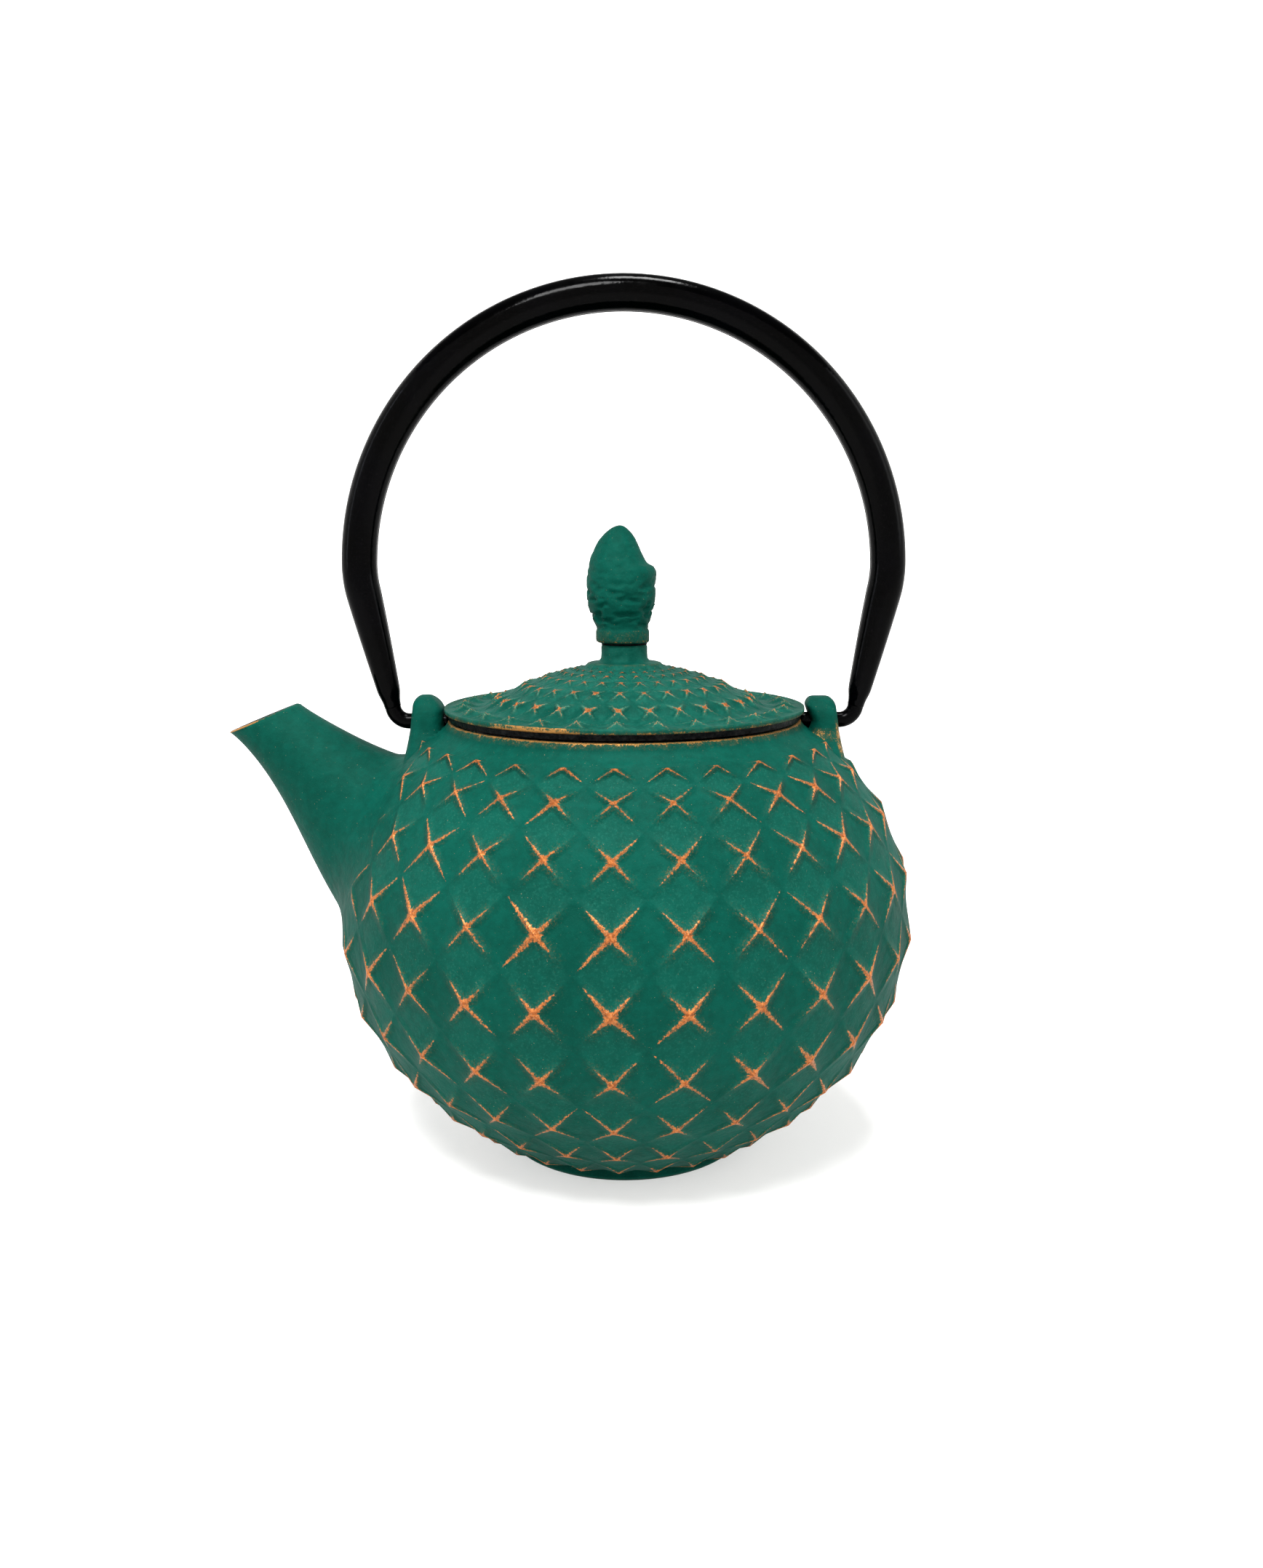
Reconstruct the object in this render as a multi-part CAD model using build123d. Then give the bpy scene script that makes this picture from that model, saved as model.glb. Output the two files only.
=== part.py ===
from build123d import *
import os
from math import asin, atan2, cos, degrees, radians, sin, sqrt

# Cast iron teapot with a bail handle, a lid and a hanging infuser basket.
# Millimetres. +Z is up, the bowl's axis is Z, and the pot stands on z = 0.
# The spout points towards -X. The handle's two hooks share one axis along X.

# Bowl: an ellipse turned about Z on a flat foot, with an inward lip round the mouth and
# a rebate in the lip for the infuser's rim
belly_radius = 75.0
belly_height = 62.4
belly_half_height = 65.0
foot_radius = 33.4
rim_height = 113.9
mouth_radius = 41.0
rebate_radius = 44.3
rebate_depth = 1.0
wall = 3.2
floor_thickness = 5.0
lip_thickness = 4.0

# Spout: oval sections from the mouth to the root, each given by its lowest and highest
# point (x, z) in the pot's middle plane and by half its width across that plane
spout_sections = [
    ((-103.0, 110.6), (-85.1, 117.9), 8.6),
    ((-96.0, 103.1), (-78.4, 113.3), 10.4),
    ((-88.9, 91.2), (-70.6, 108.9), 13.2),
    ((-82.1, 76.3), (-62.2, 105.0), 16.4),
    ((-72.0, 57.0), (-50.0, 101.0), 20.0),
]
spout_wall = 2.6
spout_overcut = 2.0

# Lugs that carry the handle
pivot_height = 113.1
lug_inner_x = 47.2
lug_waist_x = 48.6
lug_outer_x = 55.2
lug_top_outer_x = 54.6
lug_root_x = 57.0
lug_root_height = 104.0
lug_foot_height = 100.0
lug_top_height = 119.6
lug_half_width = 6.5
lug_corner_radius = 3.0
hook_hole_radius = 2.3
hook_hole_start_x = 46.7

# Lid: a flat edge, a shallow dome and a stem for the knob, with a skirt underneath
lid_radius = 46.6
lid_underside = 115.9
lid_edge_top = 117.5
dome_radius = 32.0
dome_foot = 120.7
dome_top = 128.2
dome_fillet_width = 0.8
dome_fillet_drop = 0.7
lid_thickness = 3.2
under_fillet_width = 3.0
under_fillet_drop = 0.6
skirt_outer_radius = 38.2
skirt_inner_radius = 35.6
skirt_bottom = 106.3
stem_radius = 5.95
stem_top = 132.9
shoulder_radius = 9.6
shoulder_height = 0.2
boss_radius = 8.0
boss_bottom = 123.2
core_height = 126.7

# Knob: a collar and a bud, held by a screw and a washer from inside the lid
seat_radius = 5.0
collar_radius = 6.9
collar_bottom = 133.7
collar_top = 136.5
collar_chamfer = 0.4
bud_radius = 8.9
bud_height = 146.3
bud_shoulder_radius = 6.6
bud_shoulder_height = 156.6
knob_top = 162.7
screw_radius = 2.5
screw_clearance = 0.3
screw_top = 148.0
screw_head_radius = 4.6
screw_head_height = 3.0
screw_head_fillet = 1.2
screw_slot_width = 1.2
screw_slot_depth = 1.4
screw_end_gap = 1.0
washer_radius = 6.5
washer_thickness = 1.0

# Handle: a round tube, one large arc on two straight tapering legs
handle_arc_radius = 67.6
handle_arc_height = 151.9
handle_tube_radius = 4.5
handle_tube_wall = 0.9
leg_lean = 12.4
leg_bend_turn = 14.0
leg_bend_radius = 30.0
leg_end_height = 118.4
leg_end_radius = 2.5
leg_overcut = 0.5
hook_radius = 1.8
hook_bend_radius = 4.2
hook_tip_x = 46.95
hook_grip = 14.0

# Infuser basket
infuser_rim_radius = 43.6
infuser_rim_bottom = 113.1
infuser_rim_thickness = 0.6
infuser_bead_radius = 0.5
infuser_collar_radius = 39.4
infuser_collar_thickness = 0.5
infuser_collar_bottom = 105.0
infuser_wall_top = 106.0
infuser_bottom = 69.0
infuser_bottom_radius = 35.5
infuser_mesh_thickness = 0.4
infuser_ring_height = 4.0
infuser_ring_thickness = 0.5


def turned(outline):
    """Turns a closed outline, given as radius and height, about the pot's axis."""
    edges = [edge for line in outline for edge in line.edges()]
    return revolve(make_face(Plane.XZ * Wire(edges)), Axis.Z)


def disc(radius, bottom, top):
    """A cylinder about the pot's axis."""
    return Pos(0, 0, (bottom + top) / 2) * Cylinder(radius, top - bottom)


def ring(inner_radius, outer_radius, bottom, top):
    """A plain tube about the pot's axis."""
    return disc(outer_radius, bottom, top) - disc(inner_radius, bottom, top)


def ellipse_angle(height, half_height):
    """The angle on the bowl's ellipse at a given height, in degrees."""
    return degrees(asin((height - belly_height) / half_height))


def bowl_solid(offset, bottom, top, bottom_radius):
    """The bowl's outside or inside: an elliptical outline, flat at both ends."""
    radius = belly_radius - offset
    half_height = belly_half_height - offset
    start = degrees(atan2(-sqrt(1 - (bottom_radius / radius) ** 2), bottom_radius / radius))
    end = ellipse_angle(top, half_height)
    side = EllipticalCenterArc((0, belly_height), radius, half_height, start, arc_size=end - start)
    low = side @ 0
    high = side @ 1
    lower = Polyline((0, bottom), (low.X, bottom), (low.X, low.Y))
    upper = Polyline((high.X, high.Y), (0, top), (0, bottom))
    return turned([lower, side, upper])


def spout_solid(inset, overcut):
    """The spout's outside, or its passage when inset by the wall's thickness."""
    faces = []
    for number, (low, high, half_width) in enumerate(spout_sections):
        run_x = high[0] - low[0]
        run_z = high[1] - low[1]
        length = sqrt(run_x**2 + run_z**2)
        outward = Vector(-run_z, 0, run_x) / length
        middle = Vector((low[0] + high[0]) / 2, 0, (low[1] + high[1]) / 2)
        if number == 0:
            middle = middle + outward * overcut
        plane = Plane(origin=middle, x_dir=(run_x, 0, run_z), z_dir=outward)
        faces.append(plane * Ellipse(length / 2 - inset, half_width - inset))
    return loft(faces)


def lug(side):
    """One lug: its outline from the front, cut to its outline from the side."""
    front = Polyline(
        (lug_inner_x, lug_foot_height),
        (lug_root_x, lug_foot_height),
        (lug_root_x, lug_root_height),
        (lug_outer_x, pivot_height),
        (lug_top_outer_x, lug_top_height),
        (lug_inner_x, lug_top_height),
        (lug_waist_x, pivot_height),
        (lug_inner_x, lug_root_height),
        close=True,
    )
    front_face = make_face(Plane.XZ * front)
    plate = extrude(front_face, lug_half_width, both=True)
    top_edges = plate.edges().filter_by(Axis.Y).group_by(Axis.Z)[-1]
    plate = fillet(top_edges, lug_corner_radius)
    middle_x = (lug_inner_x + lug_root_x) / 2
    block_width = lug_root_x
    block_height = pivot_height - lug_foot_height
    block = Pos(middle_x, 0, lug_foot_height + block_height / 2) * Box(
        block_width, 2 * lug_half_width, block_height
    )
    crown = Pos(middle_x, 0, pivot_height) * Rot(0, 90, 0) * Cylinder(lug_half_width, block_width)
    solid = plate & (block + crown)
    return solid if side > 0 else mirror(solid, Plane.YZ)


def hook_hole(side):
    """The hole through a lug, along X."""
    length = lug_root_x - mouth_radius
    middle = side * (hook_hole_start_x + length / 2)
    return Pos(middle, 0, pivot_height) * Rot(0, 90, 0) * Cylinder(hook_hole_radius, length)


def pot_casting():
    bowl = bowl_solid(0, 0, rim_height, foot_radius)
    inner_half_height = belly_half_height - wall
    floor_share = (belly_height - floor_thickness) / inner_half_height
    floor_radius = (belly_radius - wall) * sqrt(1 - floor_share**2)
    hollow = bowl_solid(wall, floor_thickness, rim_height - lip_thickness, floor_radius)
    mouth = disc(mouth_radius, rim_height - 1.5 * lip_thickness, rim_height + 1.5 * lip_thickness)
    rebate = disc(rebate_radius, rim_height - rebate_depth, rim_height + rebate_depth)
    solid = bowl + spout_solid(0, 0) + lug(1) + lug(-1)
    solid = solid - hollow - mouth - rebate - spout_solid(spout_wall, spout_overcut)
    return solid - hook_hole(1) - hook_hole(-1)


def dome_arc(drop, outer_radius):
    """The dome's outline, lowered by drop, from outer_radius in to the axis."""
    rise = dome_top - dome_foot
    sphere = (dome_radius**2 + rise**2) / (2 * rise)
    centre = dome_top - drop - sphere
    angle = degrees(asin(outer_radius / sphere))
    return CenterArc((0, centre), sphere, 90 - angle, angle)


def lid_casting():
    upper = dome_arc(0, dome_radius)
    lower = dome_arc(lid_thickness, skirt_inner_radius - under_fillet_width)
    under_edge = lower.start_point()
    outline = [
        Polyline((0, lower.end_point().Y), (0, upper.end_point().Y)),
        upper,
        Polyline(
            (dome_radius, dome_foot),
            (dome_radius + dome_fillet_width, dome_foot - dome_fillet_drop),
            (lid_radius, lid_edge_top),
            (lid_radius, lid_underside),
            (skirt_outer_radius, lid_underside),
            (skirt_outer_radius, skirt_bottom),
            (skirt_inner_radius, skirt_bottom),
            (skirt_inner_radius, under_edge.Y - under_fillet_drop),
            (under_edge.X, under_edge.Y),
        ),
        lower,
    ]
    shell = turned(outline)
    stem = disc(stem_radius, core_height, stem_top)
    boss = disc(boss_radius, boss_bottom, core_height)
    shoulder = disc(shoulder_radius, core_height, dome_top + shoulder_height)
    hole = disc(screw_radius + screw_clearance, boss_bottom - 1, stem_top + 1)
    return shell + stem + boss + shoulder - hole


def lid_knob():
    bud = Spline(
        (collar_radius - collar_chamfer, collar_top),
        (bud_radius, bud_height),
        (bud_shoulder_radius, bud_shoulder_height),
        (0, knob_top),
        tangents=((0.35, 1), (-1, 0.35)),
    )
    collar = Polyline(
        (0, knob_top),
        (0, stem_top),
        (seat_radius, stem_top),
        (seat_radius, collar_bottom),
        (collar_radius - collar_chamfer, collar_bottom),
        (collar_radius, collar_bottom + collar_chamfer),
        (collar_radius, collar_top - collar_chamfer),
        (collar_radius - collar_chamfer, collar_top),
    )
    solid = turned([bud, collar])
    return solid - disc(screw_radius, stem_top - 1, screw_top)


def knob_screw():
    washer_bottom = boss_bottom - washer_thickness
    head_bottom = washer_bottom - screw_head_height
    head = disc(screw_head_radius, head_bottom, washer_bottom)
    head = fillet(head.edges().group_by(Axis.Z)[0], screw_head_fillet)
    slot_box = Box(3 * screw_head_radius, screw_slot_width, 2 * screw_slot_depth)
    slot = Pos(0, 0, head_bottom) * slot_box
    shank = disc(screw_radius, washer_bottom - washer_thickness, screw_top - screw_end_gap)
    return head + shank - slot


def knob_washer():
    inner = screw_radius + screw_clearance
    return ring(inner, washer_radius, boss_bottom - washer_thickness, boss_bottom)


def leg_points():
    """The bend's start on the arc, and the leg's two ends, on the +X side."""
    lean = radians(leg_lean)
    arc_end = radians(leg_lean - leg_bend_turn)
    start_x = handle_arc_radius * cos(arc_end)
    start_z = handle_arc_height - handle_arc_radius * sin(arc_end)
    centre_x = start_x - leg_bend_radius * cos(arc_end)
    centre_z = start_z + leg_bend_radius * sin(arc_end)
    bend_x = centre_x + leg_bend_radius * cos(lean)
    bend_z = centre_z - leg_bend_radius * sin(lean)
    end_x = bend_x - (bend_z - leg_end_height) * sin(lean) / cos(lean)
    return (start_x, start_z), (centre_x, centre_z), (bend_x, bend_z), (end_x, leg_end_height)


def handle_arch(radius):
    """The tube's round part: the large arc and the tighter bend at each end of it."""
    start, centre, bend, _ = leg_points()
    start_angle = degrees(atan2(start[1] - handle_arc_height, start[0]))
    arc = CenterArc((0, handle_arc_height), handle_arc_radius, start_angle, 180 - 2 * start_angle)
    bend_angle = degrees(atan2(bend[1] - centre[1], bend[0] - centre[0]))
    turn = start_angle - bend_angle
    right = CenterArc(centre, leg_bend_radius, bend_angle, turn)
    left = CenterArc((-centre[0], centre[1]), leg_bend_radius, 180 - start_angle, turn)
    path = Plane.XZ * Wire([right, arc, left])
    profile = Plane(origin=path @ 0, z_dir=path % 0) * Circle(radius)
    return sweep(profile, path=path, transition=Transition.ROUND)


def handle_leg(side, top_radius, end_radius, extra):
    """A straight tapering leg, as a solid that runs past its lower end by extra."""
    _, _, bend, end = leg_points()
    lean = radians(leg_lean)
    down = Vector(-side * sin(lean), 0, -cos(lean))
    top = Vector(side * bend[0], 0, bend[1])
    bottom = Vector(side * end[0], 0, end[1]) + down * extra
    first = Plane(origin=top, z_dir=down) * Circle(top_radius)
    last = Plane(origin=bottom, z_dir=down) * Circle(end_radius)
    return loft([first, last])


def handle_tube():
    bore = handle_tube_radius - handle_tube_wall
    outside = handle_arch(handle_tube_radius)
    inside = handle_arch(bore)
    for side in (1, -1):
        outside = outside + handle_leg(side, handle_tube_radius, leg_end_radius, 0)
        inside = inside + handle_leg(side, bore, hook_radius, leg_overcut)
    return outside - inside


def handle_hook(side):
    """A rod gripped in the tube's end, bent inwards to lie in the lug's hole."""
    _, _, _, end = leg_points()
    lean = radians(leg_lean)
    slope = sin(lean) / cos(lean)
    corner_x = end[0] - (end[1] - pivot_height) * slope
    top_x = end[0] + hook_grip * sin(lean)
    top_z = end[1] + hook_grip * cos(lean)
    points = [(top_x, top_z), (corner_x, pivot_height), (hook_tip_x, pivot_height)]
    path = Plane.XZ * FilletPolyline(*points, radius=hook_bend_radius)
    profile = Plane(origin=path @ 0, z_dir=path % 0) * Circle(hook_radius)
    rod = sweep(profile, path=path)
    return rod if side > 0 else mirror(rod, Plane.YZ)


def infuser_rim():
    top = infuser_rim_bottom + infuser_rim_thickness
    inner = infuser_collar_radius - infuser_collar_thickness
    flange = ring(inner, infuser_rim_radius, infuser_rim_bottom, top)
    collar = ring(inner, infuser_collar_radius, infuser_collar_bottom, top)
    bead = Pos(0, 0, infuser_rim_bottom + infuser_bead_radius) * Torus(
        infuser_rim_radius, infuser_bead_radius
    )
    return flange + collar + bead


def mesh_radius(height):
    """The basket's outer radius, which narrows evenly towards the bottom."""
    top_radius = infuser_collar_radius - infuser_collar_thickness
    share = (height - infuser_bottom) / (infuser_wall_top - infuser_bottom)
    return infuser_bottom_radius + share * (top_radius - infuser_bottom_radius)


def infuser_mesh_wall():
    base = infuser_bottom + infuser_mesh_thickness
    outer_low = mesh_radius(base)
    outer_high = mesh_radius(infuser_wall_top)
    outline = Polyline(
        (outer_low - infuser_mesh_thickness, base),
        (outer_low, base),
        (outer_high, infuser_wall_top),
        (outer_high - infuser_mesh_thickness, infuser_wall_top),
        close=True,
    )
    return turned([outline])


def infuser_mesh_base():
    top = infuser_bottom + infuser_mesh_thickness
    return disc(infuser_bottom_radius, infuser_bottom, top)


def infuser_base_ring():
    inner_low = mesh_radius(infuser_bottom)
    inner_high = mesh_radius(infuser_bottom + infuser_ring_height)
    outline = Polyline(
        (inner_low, infuser_bottom),
        (inner_low + infuser_ring_thickness, infuser_bottom),
        (inner_high + infuser_ring_thickness, infuser_bottom + infuser_ring_height),
        (inner_high, infuser_bottom + infuser_ring_height),
        close=True,
    )
    return turned([outline])


nodes = {
    "pot_casting": pot_casting(),
    "lid_casting": lid_casting(),
    "lid_knob": lid_knob(),
    "knob_screw": knob_screw(),
    "knob_washer": knob_washer(),
    "handle_tube": handle_tube(),
    "handle_hook_left": handle_hook(-1),
    "handle_hook_right": handle_hook(1),
    "infuser_rim": infuser_rim(),
    "infuser_mesh_wall": infuser_mesh_wall(),
    "infuser_mesh_base": infuser_mesh_base(),
    "infuser_base_ring": infuser_base_ring(),
}

os.makedirs("parts", exist_ok=True)
for name, solid in nodes.items():
    export_step(solid, f"parts/{name}.step")
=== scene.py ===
import math

import bpy
import numpy as np
from mathutils import Matrix, Vector, geometry, noise


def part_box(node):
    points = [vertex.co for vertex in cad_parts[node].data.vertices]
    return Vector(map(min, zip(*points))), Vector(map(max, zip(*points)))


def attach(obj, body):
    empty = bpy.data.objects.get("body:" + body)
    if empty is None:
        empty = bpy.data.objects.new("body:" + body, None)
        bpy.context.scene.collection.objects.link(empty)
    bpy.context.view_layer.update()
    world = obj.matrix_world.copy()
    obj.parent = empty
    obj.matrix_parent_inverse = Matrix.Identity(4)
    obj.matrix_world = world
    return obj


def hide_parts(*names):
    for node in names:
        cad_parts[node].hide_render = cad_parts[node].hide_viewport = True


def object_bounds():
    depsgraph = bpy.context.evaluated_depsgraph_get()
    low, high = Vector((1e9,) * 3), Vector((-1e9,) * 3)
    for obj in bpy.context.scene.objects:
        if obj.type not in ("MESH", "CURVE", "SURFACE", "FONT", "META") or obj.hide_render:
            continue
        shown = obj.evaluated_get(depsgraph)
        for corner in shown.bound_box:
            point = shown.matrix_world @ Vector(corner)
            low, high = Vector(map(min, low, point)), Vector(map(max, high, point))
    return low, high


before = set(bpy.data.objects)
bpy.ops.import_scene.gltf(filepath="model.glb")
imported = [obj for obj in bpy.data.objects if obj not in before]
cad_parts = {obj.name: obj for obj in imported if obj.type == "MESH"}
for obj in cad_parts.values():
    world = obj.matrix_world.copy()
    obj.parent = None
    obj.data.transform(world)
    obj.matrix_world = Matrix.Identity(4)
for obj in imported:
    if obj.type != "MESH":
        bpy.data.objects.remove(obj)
cad_low, cad_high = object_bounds()

# Everything below is in millimetres until a mesh is made: +Z up, the bowl's axis on Z,
# the spout towards -X. Azimuth 0 is the front, -Y, and grows towards +X.
MM = 0.001

basket_low, basket_high = (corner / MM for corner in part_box("infuser_mesh_wall"))

# Bowl
BELLY_RADIUS = 75.0
BELLY_HEIGHT = 62.4
BELLY_HALF_HEIGHT = 65.0
FOOT_RADIUS = 33.4
FOOT_EDGE = 1.5
RIM_HEIGHT = 113.9
RIM_RADIUS = 45.76
MOUTH_RADIUS = 41.0
REBATE_RADIUS = 44.3
REBATE_DEPTH = 1.0
WALL = 3.2
FLOOR_THICKNESS = 5.0
LIP_THICKNESS = 4.0
NECK_DIP = 0.35

# Outline of the foot: distance out from its edge, and height
FOOT_OUTLINE = ((-21, 0), (-10, 0), (-1.6, 0), (-1.1, 0.1), (-0.3, 0.9), (0, FOOT_EDGE))

# Outline of the mouth from outside to inside: radius, height, wear and material slot
RIM_OUTLINE = (
    (RIM_RADIUS + 0.02, RIM_HEIGHT - 0.45, 0.36, 0),
    (RIM_RADIUS - 0.12, RIM_HEIGHT - 0.15, 0.66, 0),
    (RIM_RADIUS - 0.5, RIM_HEIGHT, 0.55, 0),
    (RIM_RADIUS - 0.9, RIM_HEIGHT, 0.1, 0),
    (RIM_RADIUS - 1.15, RIM_HEIGHT, 0.0, 1),
    (REBATE_RADIUS + 0.2, RIM_HEIGHT, 0.0, 1),
    (REBATE_RADIUS, RIM_HEIGHT - 0.2, 0.0, 1),
    (REBATE_RADIUS, RIM_HEIGHT - REBATE_DEPTH, 0.0, 1),
    (MOUTH_RADIUS + 0.4, RIM_HEIGHT - REBATE_DEPTH, 0.0, 1),
    (MOUTH_RADIUS, RIM_HEIGHT - REBATE_DEPTH - 0.4, 0.0, 1),
    (MOUTH_RADIUS, RIM_HEIGHT - LIP_THICKNESS + 0.5, 0.0, 1),
    (MOUTH_RADIUS + 0.4, RIM_HEIGHT - LIP_THICKNESS, 0.0, 1),
    (MOUTH_RADIUS + 4.8, RIM_HEIGHT - LIP_THICKNESS, 0.0, 1),
)

# Lattice of stars on the bowl and the lid
COLUMNS = 28
CELL = 2 * math.pi / COLUMNS
COLUMN_TURN = math.radians(-2.46)
STAR_HEIGHTS = (109.0, 102.6, 91.5, 76.3, 59.6, 42.6, 27.7, 16.7, 8.1)
RELIEF_HEIGHT = 1.5
RELIEF_POWER = 1.8
BOWL_SWELL = 0.35
BASE_SWELL = 1.3
RIDGE_HEIGHT = 0.1
RIDGE_WIDTH = 0.12
PLAIN_LEVEL = 0.3
BOWL_STEPS = 14
LAST_ROW_STEP = 123
STITCH_MARGIN = 0.45
LID_STEPS = 12

# Spout: lowest point, highest point (x, z) and half width of each oval section
SPOUT_SECTIONS = (
    ((-103.0, 110.6), (-85.1, 117.9), 8.6),
    ((-96.0, 103.1), (-78.4, 113.3), 10.4),
    ((-88.9, 91.2), (-70.6, 108.9), 13.2),
    ((-82.1, 76.3), (-62.2, 105.0), 16.4),
    ((-72.0, 57.0), (-50.0, 101.0), 20.0),
)
SPOUT_WALL = 2.6
SPOUT_SIDES = 112

# The spout's lip: inset from the outside, place along the spout, and wear where it is painted
SPOUT_LIP_OUTSIDE = ((0.0, -0.38, 0.75), (0.18, -0.16, 1.0), (0.6, 0.0, 0.9))
SPOUT_LIP_INSIDE = ((1.5, 0.02), (2.2, -0.13), (SPOUT_WALL, -0.58))

# Lugs and the handle's hooks
PIVOT_HEIGHT = 113.1
HOOK_HOLE_RADIUS = 2.3
HOOK_HOLE_START_X = 46.0
HOOK_HOLE_END_X = 64.0
HOLE_SIDES = 40
LUG_MIDDLE_X = 52.0
LUG_HALF_LENGTH = 5.0
LUG_HALF_WIDTH = 6.5
LUG_TOPS = {-1: 120.0, 1: 119.4}
LUG_FOOT = 97.0
LUG_SHOULDER = 116.0
LUG_CROWN_X = 51.4
LUG_ROUNDING = 2.6
LUG_SPREAD = 4.2
LUG_SPREAD_TOP = 113.5
LUG_SPREAD_HEIGHT = 8.0
LUG_SQUARENESS = 2 / 3.4
LUG_SIDES = 64

# How far the lugs' two sides are from the bowl's axis at a few heights, for -X and for +X
LUG_OUTER_SIDE = (58.6, 57.0, 55.7, 55.4, 54.6)
LUG_INNER_SIDES = {
    -1: ((104, 109, PIVOT_HEIGHT, 116.2, 118.0, 119.6), (46.9, 46.75, 46.9, 47.0, 47.9, 48.9)),
    1: ((104, 109, PIVOT_HEIGHT, 117), (46.9, 47.6, 48.6, 47.2)),
}

# Handle
ARC_RADIUS = 67.6
ARC_HEIGHT = 151.9
TUBE_RADIUS = 4.5
LEG_LEAN = math.radians(12.4)
BEND_TURN = math.radians(14.0)
BEND_RADIUS = 30.0
LEG_END_HEIGHT = 118.4
LEG_END_RADIUS = 2.75
HOOK_RADIUS = 2.05
HOOK_BEND_RADIUS = 4.2
HOOK_TIP_X = 46.2

# Lid: a brim round a shallow dome, which is part of a sphere
LID_RADIUS = 46.6
LID_EDGE_TOP = 117.5
LID_THICKNESS = 3.2
LID_SPHERE_RADIUS = 72.02
LID_SPHERE_CENTRE = 56.18
DOME_END = 31.4
BRIM_START = 33.4
LID_ROW_RADIUS = 33.0
LID_ROW_SHRINK = 0.2356
LID_ROWS = (-1.42, 4.86)
LID_RELIEF = 0.15
BRIM_RELIEF = 0.27
BRIM_SLOPE = 0.181
BRIM_UNDERSIDE = 115.9
BRIM_LIP_BOTTOM = 114.4
BRIM_LIP_INNER_RADIUS = 45.0
BRIM_LIP_OUTER_RADIUS = 45.6
SKIRT_BOTTOM = 106.3
SKIRT_INNER_RADIUS = 35.6
SKIRT_OUTER_RADIUS = 38.2
BOSS_BOTTOM = 123.2
STEM_TOP = 132.9

# Outlines of the lid's edge and of its stem: radius, height and wear
LID_EDGE_OUTLINE = (
    (46.25, 115.92, 0.45),
    (46.55, 116.15, 0.42),
    (46.6, 116.7, 0.2),
    (46.55, 117.2, 0.22),
)
STEM_OUTLINE = (
    (9.9, 127.75, 0.1),
    (9.5, 128.15, 0.3),
    (8.9, 128.35, 0.25),
    (7.6, 128.45, 0.0),
    (6.6, 128.7, 0.0),
    (6.05, 129.4, 0.0),
    (5.95, 130.6, 0.0),
    (5.95, 132.3, 0.1),
    (5.75, 132.8, 0.15),
    (5.3, STEM_TOP, 0.0),
)

# Knob: height, radius and shift along X, first the collar and then the bud
KNOB_SIDES = 120
KNOB_COLLAR_ROWS = 8
KNOB_PROFILE = (
    (STEM_TOP, 5.9, 0.0),
    (133.4, 5.95, 0.0),
    (133.45, 6.4, -0.2),
    (133.75, 6.8, -0.35),
    (134.3, 6.88, -0.42),
    (136.3, 6.88, -0.42),
    (136.65, 6.75, -0.43),
    (136.95, 6.6, -0.45),
    (137.5, 6.7, -0.47),
    (138.0, 6.85, -0.5),
    (140.0, 7.5, -0.7),
    (143.3, 8.5, -0.7),
    (145.4, 8.8, -0.7),
    (147.0, 8.86, -0.73),
    (149.9, 8.65, -0.85),
    (151.9, 8.2, -1.1),
    (153.6, 7.5, -1.43),
    (155.0, 6.9, -1.68),
    (156.9, 6.1, -1.7),
    (159.3, 4.75, -1.6),
    (161.2, 3.3, -1.4),
    (162.0, 2.5, -1.3),
    (162.6, 1.7, -1.2),
    (162.95, 1.0, -1.1),
    (163.1, 0.45, -1.05),
)

# Infuser basket of woven wire. No wire runs along NO_WIRE_WAY.
WIRE_PITCH = 1.5
WIRE_RADIUS = 0.22
WIRE_WAVE = 0.95 * WIRE_RADIUS
NO_WIRE_WAY = (0.31, 0.22, 0.92)
BASKET_TOP_RADIUS = 38.8
BASKET_BASE_RADIUS = 35.5
BASKET_INSET = 0.35
BASKET_FOOT_GAP = 0.6
BASKET_TOP_GAP = 0.2
BASKET_BASE_GAP = 0.5

# Colours, linear
GREEN_DEEP = (0.0001, 0.033, 0.0225, 1)
GREEN_LIGHT = (0.0003, 0.046, 0.032, 1)
GREEN_DUST = (0.009, 0.08, 0.057, 1)
COPPER_DEEP = (0.2, 0.055, 0.016, 1)
COPPER_LIGHT = (0.4, 0.13, 0.035, 1)
COPPER_DUST = (0.08, 0.055, 0.015, 1)
GOLD_WEAR = (0.2, 0.13, 0.035, 1)
FLECK = (0.42, 0.3, 0.17, 1)
# Pale green on the crests of the ribs: partly rubbed paint, partly a painted highlight.
GREEN_RIDGE_RUB_AND_HIGHLIGHT = (0.06, 0.19, 0.13, 1)
ENAMEL_DEEP = (0.0015, 0.0015, 0.0018, 1)
ENAMEL_LIGHT = (0.008, 0.0078, 0.0075, 1)
BLACK_DEEP = (0.0, 0.0, 0.0, 1)
BLACK_LIGHT = (0.0002, 0.0002, 0.0004, 1)
BLACK_SPECK = (0.006, 0.006, 0.007, 1)
BLACK_RUBBED = (0.09, 0.062, 0.045, 1)
BACKDROP_DEEP = (0.56, 0.555, 0.55, 1)
BACKDROP_LIGHT = (0.59, 0.585, 0.58, 1)
BACKDROP_GLOW = (1.0, 0.995, 0.985, 1)

# Share of pale dust in the green paint, where nothing else is said
DUSTING = 0.28

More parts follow.
